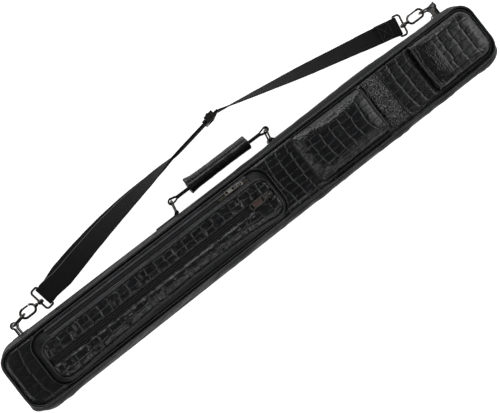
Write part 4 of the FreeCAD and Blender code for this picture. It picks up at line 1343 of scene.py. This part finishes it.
def handle_core():
    """Webbing looped round each ring bar, and a straight piece between."""
    leg = [(x, 1.15 + 0.2 * max(0, 22 - x) / 22) for x in (40, 30, 22, 15, 10)] + [(6.6, 2.9)]
    angles = [math.radians(50 + 260 * k / 12) for k in range(13)]
    loop = leg + [(4.3 * math.cos(a), 4.3 * math.sin(a)) for a in angles]
    loop += [(x, -y) for x, y in reversed(leg)]
    for end, bar_x, inward, replaced in (("bottom", BAR_X[0], 1, "handle_core"),
                                         ("top", BAR_X[1], -1, None)):
        path = [(bar_x + inward * x, GRIP_Y + y, ANCHOR_Z) for x, y in loop]
        path = smoothed(resample(path, 0.9)[0], 2)
        make("handle_core_" + end, sweep(path, 1.0, profile=bar_profile(1.2, 6.5, 0.6)),
             WEBBING, "handle", replaced)
    path = [(x, GRIP_Y, ANCHOR_Z) for x in (BAR_X[0] + 39, 0, BAR_X[1] - 39)]
    make("handle_core_mid", sweep(path, 1.0, profile=bar_profile(2.1, 6.4, 0.6)), WEBBING,
         "handle")


def handle_tab(end, ring_x, side, seed):
    """Leather tab sewn along the wall and folded round a ring bar."""
    length, half_width, bar_r = 40, 7.5, 2.95
    bar_y = RING_Y - WALL_Y
    rise = (bar_y - bar_r) * 0.35
    # distance from the ring, height off the wall, share that follows the wall's curve
    rows = [(d, 0.95, 1.0) for d in np.linspace(length, 8, 16)]
    rows.append((4.6, 1.6 + rise, 0.6))
    for k in range(15):
        a = math.radians(-62 - 236 * k / 14)
        rows.append((bar_r * math.cos(a), bar_y + bar_r * math.sin(a), 0.0))
    rows.append((5.6, 2.9 + rise, 0.5))
    rows += [(d, 3.55, 1.0) for d in np.linspace(8.6, length, 16)]
    along, height, follow = evenly(rows, 90).T[:, :, None]
    Z = ANCHOR_Z + np.linspace(-half_width, half_width, 20)[None, :]
    Y = follow * (near_wall(Z) + 0.45) + (1 - follow) * WALL_Y + height
    X = np.broadcast_to(ring_x + side * along, Y.shape)
    Z = np.broadcast_to(Z, Y.shape)
    name = "handle_tab_leather_" + end
    make(name, sheet(np.stack([X, Y, Z], 2), 1.8, 0.40 + 0.12 * layered(X / 6, Z / 6, seed)),
         TAB, BACK, "handle_tab_" + end)
    for suffix, z in (("_stitch_lo", 1.6 - half_width), ("_stitch_hi", half_width - 1.6)):
        row = [(ring_x + side * d, near_wall(ANCHOR_Z + z) + 4.45, ANCHOR_Z + z)
               for d in np.linspace(10, length - 1.5, 12)]
        stitches(name + suffix, row, BACK, (0, 1, 0),
                 pitch=3.4, length=2.4, radius=0.3)


def rivet(x):
    """Domed head on a handle tab, facing +Y."""
    radius, height, sides = 3.1, 1.9, 32
    base_y = near_wall(ANCHOR_Z) + 4.4
    angles = np.linspace(0, 2 * math.pi, sides, endpoint=False)
    # share of the radius, share of the height
    profile = ((1.0, 0.0), (1.0, 0.18), (0.94, 0.42), (0.82, 0.66), (0.6, 0.86), (0.3, 0.97))
    verts = [(x + radius * q * math.cos(a), base_y + height * h,
              ANCHOR_Z + radius * q * math.sin(a)) for q, h in profile for a in angles]
    faces = []
    for i in range(0, (len(profile) - 1) * sides, sides):
        for j in range(sides):
            k = (j + 1) % sides
            faces.append([i + j, i + k, i + sides + k, i + sides + j])
    last = (len(profile) - 1) * sides
    faces += [[last + j, last + (j + 1) % sides, len(verts)] for j in range(sides)]
    verts.append((x, base_y + height, ANCHOR_Z))
    faces.append(list(range(sides))[::-1])
    return verts, faces


grip()
handle_core()
handle_tab("bottom", RING_X[0], -1, 3)
handle_tab("top", RING_X[1], 1, 4)
make("tab_rivet_heads",
     join(*[rivet(x + side * d) for x, side in zip(RING_X, (-1, 1)) for d in (13, 34)]),
     GUN_RIM, BACK, "tab_rivets")


# ------------------------------------------------------------ strap anchors
def strap_tab(end, loop_x, x0, x1, seed):
    """Folded leather loop standing out from two feet on the wall."""
    neck, foot_y, leg, loop_r = 1.7, 1.2, 10.8, 4.25
    loop_y = 70.0 - WALL_Y
    # x, height off the wall
    rows = [(x, foot_y) for x in np.linspace(x0, loop_x - neck, 10)]
    rows += [(loop_x - neck, foot_y + d * leg) for d in np.linspace(0.1, 1, 9)]
    for k in range(17):
        a = math.radians(250 - 320 * k / 16)
        rows.append((loop_x + loop_r * math.cos(a), loop_y + loop_r * math.sin(a)))
    rows += [(loop_x + neck, foot_y + d * leg) for d in np.linspace(1, 0.1, 9)]
    rows += [(x, foot_y) for x in np.linspace(loop_x + neck, x1, 10)]
    X, height = smoothed(evenly(rows, 120), 3).T[:, :, None]
    Z = ANCHOR_Z + np.linspace(-8, 8, 20)[None, :]
    # the feet follow the wall's curve
    follow = np.clip(1 - (height - foot_y) / 10.0, 0, 1)
    Y = WALL_Y + height + (near_wall(Z) + 0.5 - WALL_Y) * follow
    X, Z = np.broadcast_to(X, Y.shape), np.broadcast_to(Z, Y.shape)
    name = "strap_tab_leather_" + end
    make(name, sheet(np.stack([X, Y, Z], 2), 1.5, 0.45 + 0.12 * layered(X / 5, Z / 5, seed)),
         TAB, BACK, "strap_tab_" + end)
    for foot, a, b in (("a", x0, loop_x - 4), ("b", loop_x + 4, x1)):
        if b - a < 6:
            continue
        for level, z in (("lo", -6.2), ("hi", 6.2)):
            row = [(x, near_wall(ANCHOR_Z + z) + 2.2, ANCHOR_Z + z)
                   for x in np.linspace(a + 1, b - 1, 6)]
            stitches("%s_stitch_%s%s" % (name, foot, level), row, BACK,
                     (0, 1, 0), pitch=3.2, length=2.3, radius=0.3)


strap_tab("bottom", -392.0, -405.0, -379.0, 5)
strap_tab("top", 412.0, 390.0, 416.0, 6)


# ------------------------------------------------------------ strap webbing
LOWER_LENGTH = np.linalg.norm(STRAP_LOW - STRAP_PEAK)
UPPER_LENGTH = np.linalg.norm(STRAP_HIGH - STRAP_PEAK)
# Twist of the strap: distance from the peak, then degrees.
LOWER_TWIST = ((0, 92, 112, 140, 200, 300, 350, 380), (90, 90, 76, 60, 41, 15, 3, 0))
UPPER_TWIST = ((0, 10, 22, 60, 89, 149, 235, 290, 330), (90, 88, 80, 68, 60, 42, 26, 6, 0))


def axes(end):
    """Direction from the strap's peak to an end, and the direction across it."""
    along = (end - STRAP_PEAK) / np.linalg.norm(end - STRAP_PEAK)
    return along, np.array([-along[1], along[0], 0.0])


def soft_twist(s, table):
    return np.mean([np.interp(s + d, *table) for d in (-12, -6, 0, 6, 12)], axis=0)


def webbing_stations(start, end):
    return np.linspace(start, end, int((end - start) / 0.72))


def webbing_ribs(w):
    return 0.05 * np.cos(w * STRAP_HALF * 2 * math.pi / 2.7)


def web_layer(name, end, s, offset, twist, seed, mat=WEBBING, sideways=0.0, bow=0.0,
              selvage=False, replaced=None):
    """One layer of webbing from the peak towards end, at distances s. twist is in
    degrees; offset is off its plane, sideways is across it, bow bends the whole run."""
    along, side = axes(end)
    length = np.linalg.norm(end - STRAP_PEAK)
    a = np.radians(twist)[:, None]
    across = side * np.cos(a) + np.array(UP) * np.sin(a)
    n = unit(np.cross(along, across))
    arch = bow * np.sin(math.pi * np.clip((s - 82.0) / (length - 82.0), 0, 1)) ** 1.3
    centre = STRAP_PEAK + along * s[:, None] + n * offset[:, None]
    centre = centre + across * (sideways + 0 * s)[:, None] - side * arch[:, None]
    w = np.linspace(-1, 1, 36)[None, :]
    s = s[:, None]
    half = STRAP_HALF - 0.25 + 0.2 * noise(s / 9, 0, seed)
    P = centre[:, None, :] + across[:, None, :] * (w * half)[..., None]
    weft = 0.22 * np.cos((s + 0.25 * STRAP_HALF * w) * 2 * math.pi / 3.6)
    thick = 0.9 * (1 - 0.55 * ease((np.abs(w) - 0.93) / 0.07))
    h = thick + webbing_ribs(w) + weft + 0.10 * layered(s / 16, w * 1.5, seed)
    # the selvage cord is coloured pale to paint a highlight line along the near layer's edge
    if selvage:
        cord = (P[:, 0] + n * (thick[0, -1] + 0.25))[8:-6:3]
        make(name + "_selvage", sweep(cord, 0.62, 8), SELVAGE_HIGHLIGHT, "strap")
    make(name, two_sided(P, n[:, None, :], h, h), mat, "strap", replaced)


def lower_strap():
    """Two layers, one on each side of the strap's plane."""
    s = webbing_stations(0.0, LOWER_LENGTH)
    offset = 1.15 + 2.0 * ease((s - (LOWER_LENGTH - 50)) / 50.0)
    sideways = 3.9 * ease((LOWER_LENGTH - 4 - s) / 36.0) * ease((s - 60) / 120.0)
    twist = soft_twist(s, LOWER_TWIST)
    web_layer("strap_lower_near", STRAP_LOW, s, offset, twist, 3, sideways=sideways,
              bow=6.0, selvage=True, replaced="strap_webbing")
    web_layer("strap_lower_far", STRAP_LOW, s, -offset, twist, 4, sideways=-sideways, bow=6.0)


def upper_strap():
    s = webbing_stations(0.0, UPPER_LENGTH)
    offset = -3.15 * ease((s - (UPPER_LENGTH - 14)) / 14.0)
    web_layer("strap_upper", STRAP_HIGH, s, offset, -soft_twist(s, UPPER_TWIST), 5)
    s = webbing_stations(UPPER_LENGTH - 35, UPPER_LENGTH)
    offset = 1.95 + 1.2 * ease((s - (UPPER_LENGTH - 12)) / 12.0)
    web_layer("strap_sewn_end", STRAP_HIGH, s, offset, 0 * s, 6, WEB_PATCH)


def fold(name, end, mat):
    """Webbing turned round the bar at an end of the strap."""
    along, side = axes(end)
    a = np.radians(np.linspace(-90, 90, 25))[:, None]
    n = along * np.cos(a) + np.array(UP) * np.sin(a)
    w = np.linspace(-1, 1, 46)
    P = (end + 3.15 * n)[:, None, :] + side * (w * (STRAP_HALF - 0.2))[None, :, None]
    thick = 0.9 * (1 - 0.5 * ease((np.abs(w) - 0.93) / 0.07))
    rib = 0.16 * np.cos(w * STRAP_HALF * 2 * math.pi / 2.7)
    make(name, two_sided(P, n[:, None, :], thick + rib, thick), mat, "strap")


def box_stitches():
    """Crossed box of stitches on both faces of the sewn end."""
    along, side = axes(STRAP_HIGH)
    a, b, w = UPPER_LENGTH - 32, UPPER_LENGTH - 12, 12.6
    # each line runs between two (distance from the peak, across) points
    lines = (((a, -w), (a, w)), ((b, -w), (b, w)), ((a, -w), (b, w)),
             ((a, w), (b, -w)), ((a, -w), (b, -w)), ((a, w), (b, w)))
    for tag, direction, lift in (("a", 1, 2.95), ("b", -1, 1.2)):
        up = np.array([0, 0, direction])
        for number, line in enumerate(lines):
            path = [STRAP_PEAK + along * s + side * across + up * lift for s, across in line]
            stitches("strap_box_stitch_%s%d" % (tag, number), path, "strap", up,
                     pitch=3.0, length=2.2, radius=0.34)


def end_loop():
    """Webbing wrapped round the strap slider's bar."""
    along, side = axes(STRAP_LOW)
    a = np.radians(np.linspace(0, 360, 32, endpoint=False))[:, None]
    n = along * np.cos(a) + side * np.sin(a)
    w = np.linspace(-1, 1, 44)
    outer, inner = 2.95, 1.35
    ring = STRAP_SLIDER - side * 5.6 + outer * n
    P = ring[:, None, :] + np.array(UP) * (w * 14.8)[None, :, None]
    shape = two_sided(P, n[:, None, :], webbing_ribs(w), outer - inner, wrap=True)
    make("strap_end_fold", shape, WEBBING, "strap_slider", "strap_end_loop")


lower_strap()
upper_strap()
fold("strap_fold_bottom", STRAP_LOW, WEBBING)
fold("strap_fold_top", STRAP_HIGH, WEB_PATCH)
box_stitches()
end_loop()


# ------------------------------------------------------------ sliders and pulls
# Built with x along the zipper, y across it and z outward.
PULL_Z = 4.5


def plate(outline_points, z0, z1, chamfer):
    """Flat plate with chamfered rims from a convex outline."""
    outer = np.array(outline_points, float)
    inner = outer - unit(outer - outer.mean(0)) * chamfer
    n = len(outer)
    levels = ((inner, z0), (outer, z0 + chamfer), (outer, z1 - chamfer), (inner, z1))
    verts = [(x, y, z) for points, z in levels for x, y in points]
    faces = []
    for k in range(0, 3 * n, n):
        for i in range(n):
            j = (i + 1) % n
            faces.append([k + i, k + j, k + n + j, k + n + i])
    faces.append(list(range(n))[::-1])
    faces.append([3 * n + i for i in range(n)])
    return verts, faces


def slider():
    a = 2 * math.pi * np.arange(40) / 40
    x = 7.9 * np.abs(np.cos(a)) ** 0.75 * np.sign(np.cos(a))
    width = 4.35 - 0.95 * ease((-x - 1.0) / 7.0) - 0.25 * ease((x - 5) / 3)
    body = np.column_stack([x, width * np.abs(np.sin(a)) ** 0.6 * np.sign(np.sin(a))])
    post = plate(rounded((3.6, 7.6, -0.35, 0.35), 0.3, 3), -1.7, 2.3, 0.1)
    # arched bridge that holds the pull: x, z
    arch = ((-4.7, 3.2), (-4.5, 4.9), (-3.4, 6.0), (-1.6, 6.4),
            (1.6, 6.4), (3.4, 6.0), (4.5, 4.9), (4.7, 3.2))
    arch = smoothed(resample([(x, 0, z) for x, z in arch], 0.4)[0], 4)
    bridge = sweep(arch, 1.0, up=(0, 1, 0), profile=bar_profile(0.62, 1.05, 0.3))
    return join(plate(body, 2.1, 3.5, 0.45), plate(body, -3.1, -1.55, 0.4), post, bridge)


def pull(length, width):
    """Tab lying towards -x: its frame with a window at each end, and its centre panel."""
    half, tip = width / 2, -length
    rim = rounded((tip + 0.75, -6.2, -half + 0.75, half - 0.75), 1.9, 5)
    rim = resample([(x, y, PULL_Z) for x, y in rim], 0.7, True)[0]
    parts = [sweep(rim, 1.0, closed=True, profile=bar_profile(0.75, 0.78, 0.4))]
    for side in (1, -1):
        arm = [(x, side * y, PULL_Z) for x, y in ((-6.6, 2.9), (-3, 2.9), (-0.9, 2.9), (0.2, 3.1))]
        parts.append(sweep(arm, 1.0, profile=bar_profile(0.75, 0.68, 0.35)))
    parts.append(sweep([(0, y, PULL_Z) for y in (-3.7, -1.5, 1.5, 3.7)], 0.68))
    for x in (tip + 6.0, -11.0):
        bar = [(x, y, PULL_Z) for y in (-half + 1.0, 0, half - 1.0)]
        parts.append(sweep(bar, 1.0, profile=bar_profile(0.6, 0.62, 0.3)))
    panel = plate(rounded((tip + 6.2, -11.2, -half + 1.3, half - 1.3), 0.8, 4), 3.98, 5.0, 0.22)
    return join(*parts), panel


def tilted(shape, degrees):
    """Turned about the pull's pivot wire."""
    verts, faces = np.array(shape[0], float), shape[1]
    a = math.radians(degrees)
    x, z = verts[:, 0].copy(), verts[:, 2] - PULL_Z
    verts[:, 0] = x * math.cos(a) + z * math.sin(a)
    verts[:, 2] = PULL_Z - x * math.sin(a) + z * math.cos(a)
    return verts, faces


def placed(shape, origin, directions):
    """Moved so that x, y and z run along the three directions."""
    verts, faces = shape
    return np.asarray(verts, float) @ np.array(directions, float) + np.asarray(origin), faces


X_AXIS, Y_AXIS = (1, 0, 0), (0, 1, 0)
# slider, pull, centre, (along, across, outward), pull length, width and tilt in degrees,
# then the materials of slider, pull frame and pull panel
SLIDERS = (
    ("main_slider_side", "main_pull_side", (396.0, MID_BOX[3] - 1.0, MID_Z),
     (X_AXIS, (0, 0, -1), Y_AXIS), 24, 8, 125, GUN, GUN, GUN_RIM),
    ("main_slider_end", "main_pull_end", (MID_BOX[1] - 1.0, 5.0, MID_Z),
     (Y_AXIS, UP, X_AXIS), 24, 8, 0, GUN, GUN, GUN_RIM),
    ("pocket_slider", "pocket_pull", (3.0,) + ZIP_ORIGIN[1:],
     (X_AXIS, Y_AXIS, UP), 31, 10, 0, GUN_RIM, GUN_RIM, INLAY),
    ("side_slider", "side_pull", (-20.0, SIDE_ORIGIN[1], SIDE_ORIGIN[2]),
     (X_AXIS, SIDE_ACROSS, SIDE_NORMAL), 24, 8, 0, GUN, GUN, GUN),
)
for (slider_name, pull_name, centre, directions, length, width, tilt,
     cast_mat, frame_mat, panel_mat) in SLIDERS:
    make(slider_name + "_cast", placed(slider(), centre, directions), cast_mat, slider_name,
         slider_name, smooth=False)
    pull_frame, pull_panel = [placed(tilted(shape, tilt), centre, directions)
                              for shape in pull(length, width)]
    make(pull_name + "_frame", pull_frame, frame_mat, pull_name, pull_name,
         smooth=False)
    make(pull_name + "_panel", pull_panel, panel_mat, pull_name,
         smooth=False)


# ------------------------------------------------------------ metal pieces kept from the CAD
for piece in ("handle_ring_bottom", "handle_ring_top", "d_ring_bottom", "d_ring_top",
              "snap_hook_bottom", "snap_hook_top", "hook_gate_bottom", "hook_gate_top",
              "strap_loop_bottom", "strap_loop_top", "strap_slider"):
    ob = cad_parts[piece]
    ob.data.materials.clear()
    ob.data.materials.append(GUN)


# ------------------------------------------------------------ studio (metres)
def set_inputs(node, **values):
    """Sets a node's inputs; underscores in the names stand for spaces."""
    for key, value in values.items():
        node.inputs[key.replace("_", " ")].default_value = value


def studio_floor():
    """White floor that glows brighter to the camera than to the case."""
    half, z = 6, -0.0004
    me = bpy.data.meshes.new("floor")
    me.from_pydata([(-half, -half, z), (half, -half, z), (half, half, z), (-half, half, z)],
                   [], [(0, 1, 2, 3)])
    floor = bpy.data.objects.new("floor", me)
    bpy.context.scene.collection.objects.link(floor)
    mat = bpy.data.materials.new("floor_m")
    mat.use_nodes = True
    nodes, link = mat.node_tree.nodes, mat.node_tree.links.new
    shader = nodes["Principled BSDF"]
    set_inputs(shader, Base_Color=(0.93, 0.93, 0.94, 1), Roughness=0.9,
               Emission_Color=(1, 1, 1, 1))
    rays = nodes.new("ShaderNodeLightPath")
    glow = nodes.new("ShaderNodeMapRange")
    set_inputs(glow, To_Min=0.42, To_Max=0.98)
    link(rays.outputs["Is Camera Ray"], glow.inputs["Value"])
    link(glow.outputs["Result"], shader.inputs["Emission Strength"])
    me.materials.append(mat)


def studio_world():
    """White surroundings, brighter near the horizon and towards +Y."""
    world = bpy.data.worlds.new("studio")
    bpy.context.scene.world = world
    world.use_nodes = True
    nodes, link = world.node_tree.nodes, world.node_tree.links.new
    direction = nodes.new("ShaderNodeTexCoord")
    split = nodes.new("ShaderNodeSeparateXYZ")
    link(direction.outputs["Generated"], split.inputs[0])
    height = nodes.new("ShaderNodeMapRange")
    height.interpolation_type = "SMOOTHSTEP"
    set_inputs(height, From_Min=0.05, From_Max=0.72, To_Min=0.40, To_Max=0.06)
    link(split.outputs["Z"], height.inputs["Value"])
    side = nodes.new("ShaderNodeMapRange")
    set_inputs(side, From_Min=-0.8, From_Max=0.8, To_Min=0.35, To_Max=1.35)
    link(split.outputs["Y"], side.inputs["Value"])
    strength = nodes.new("ShaderNodeMath")
    strength.operation = "MULTIPLY"
    link(height.outputs["Result"], strength.inputs[0])
    link(side.outputs["Result"], strength.inputs[1])
    set_inputs(nodes["Background"], Color=(1, 1, 1, 1))
    link(strength.outputs[0], nodes["Background"].inputs["Strength"])


def area_light(name, location, target, size, power):
    light = bpy.data.lights.new(name, "AREA")
    light.shape = "RECTANGLE"
    light.size, light.size_y = size
    light.energy = power
    light.color = (1, 1, 1)
    ob = bpy.data.objects.new(name, light)
    ob.location = location
    aim = Vector(target) - Vector(location)
    ob.rotation_euler = aim.to_track_quat("-Z", "Y").to_euler()
    bpy.context.scene.collection.objects.link(ob)


def camera():
    """Looks down on the case from above its bottom half."""
    cam = bpy.data.cameras.new("cam")
    cam.sensor_width = 36.0
    cam.sensor_fit = "HORIZONTAL"
    cam.lens = 61.2
    cam.clip_start, cam.clip_end = 0.05, 20
    ob = bpy.data.objects.new("cam", cam)
    bpy.context.scene.collection.objects.link(ob)
    right = (0.7791493416699271, -0.6139799333758978, 0.1263128844854996)
    up = (0.6058367660755419, 0.7893208188223002, 0.09967175048539334)
    backward = (-0.16089784413238212, -0.0011341893234148928, 0.9869704136234938)
    location = (-0.2210, -0.0037, 1.2839)
    rows = list(zip(right, up, backward, location))
    ob.matrix_world = Matrix(rows + [(0, 0, 0, 1)])
    bpy.context.scene.camera = ob


studio_floor()
studio_world()
area_light("key", location=(1.45, -0.2, 0.85), target=(0.05, 0, 0.05), size=(0.8, 1.1), power=6.5)
area_light("fill", location=(-1.35, 0.15, 0.85), target=(-0.2, 0, 0.05), size=(0.8, 1.1),
           power=3.5)
area_light("side", location=(-0.1, -1.25, 0.55), target=(0, 0, 0.05), size=(1.6, 0.25), power=0.7)
area_light("far_strip", location=(-0.05, -0.88, 1.05), target=(0, 0, 0.08), size=(1.5, 0.2),
           power=3)
area_light("rim", location=(0.2, 1.3, 0.65), target=(0, 0, 0.05), size=(1.6, 0.4), power=7)
camera()
bpy.context.scene.view_settings.view_transform = "Standard"
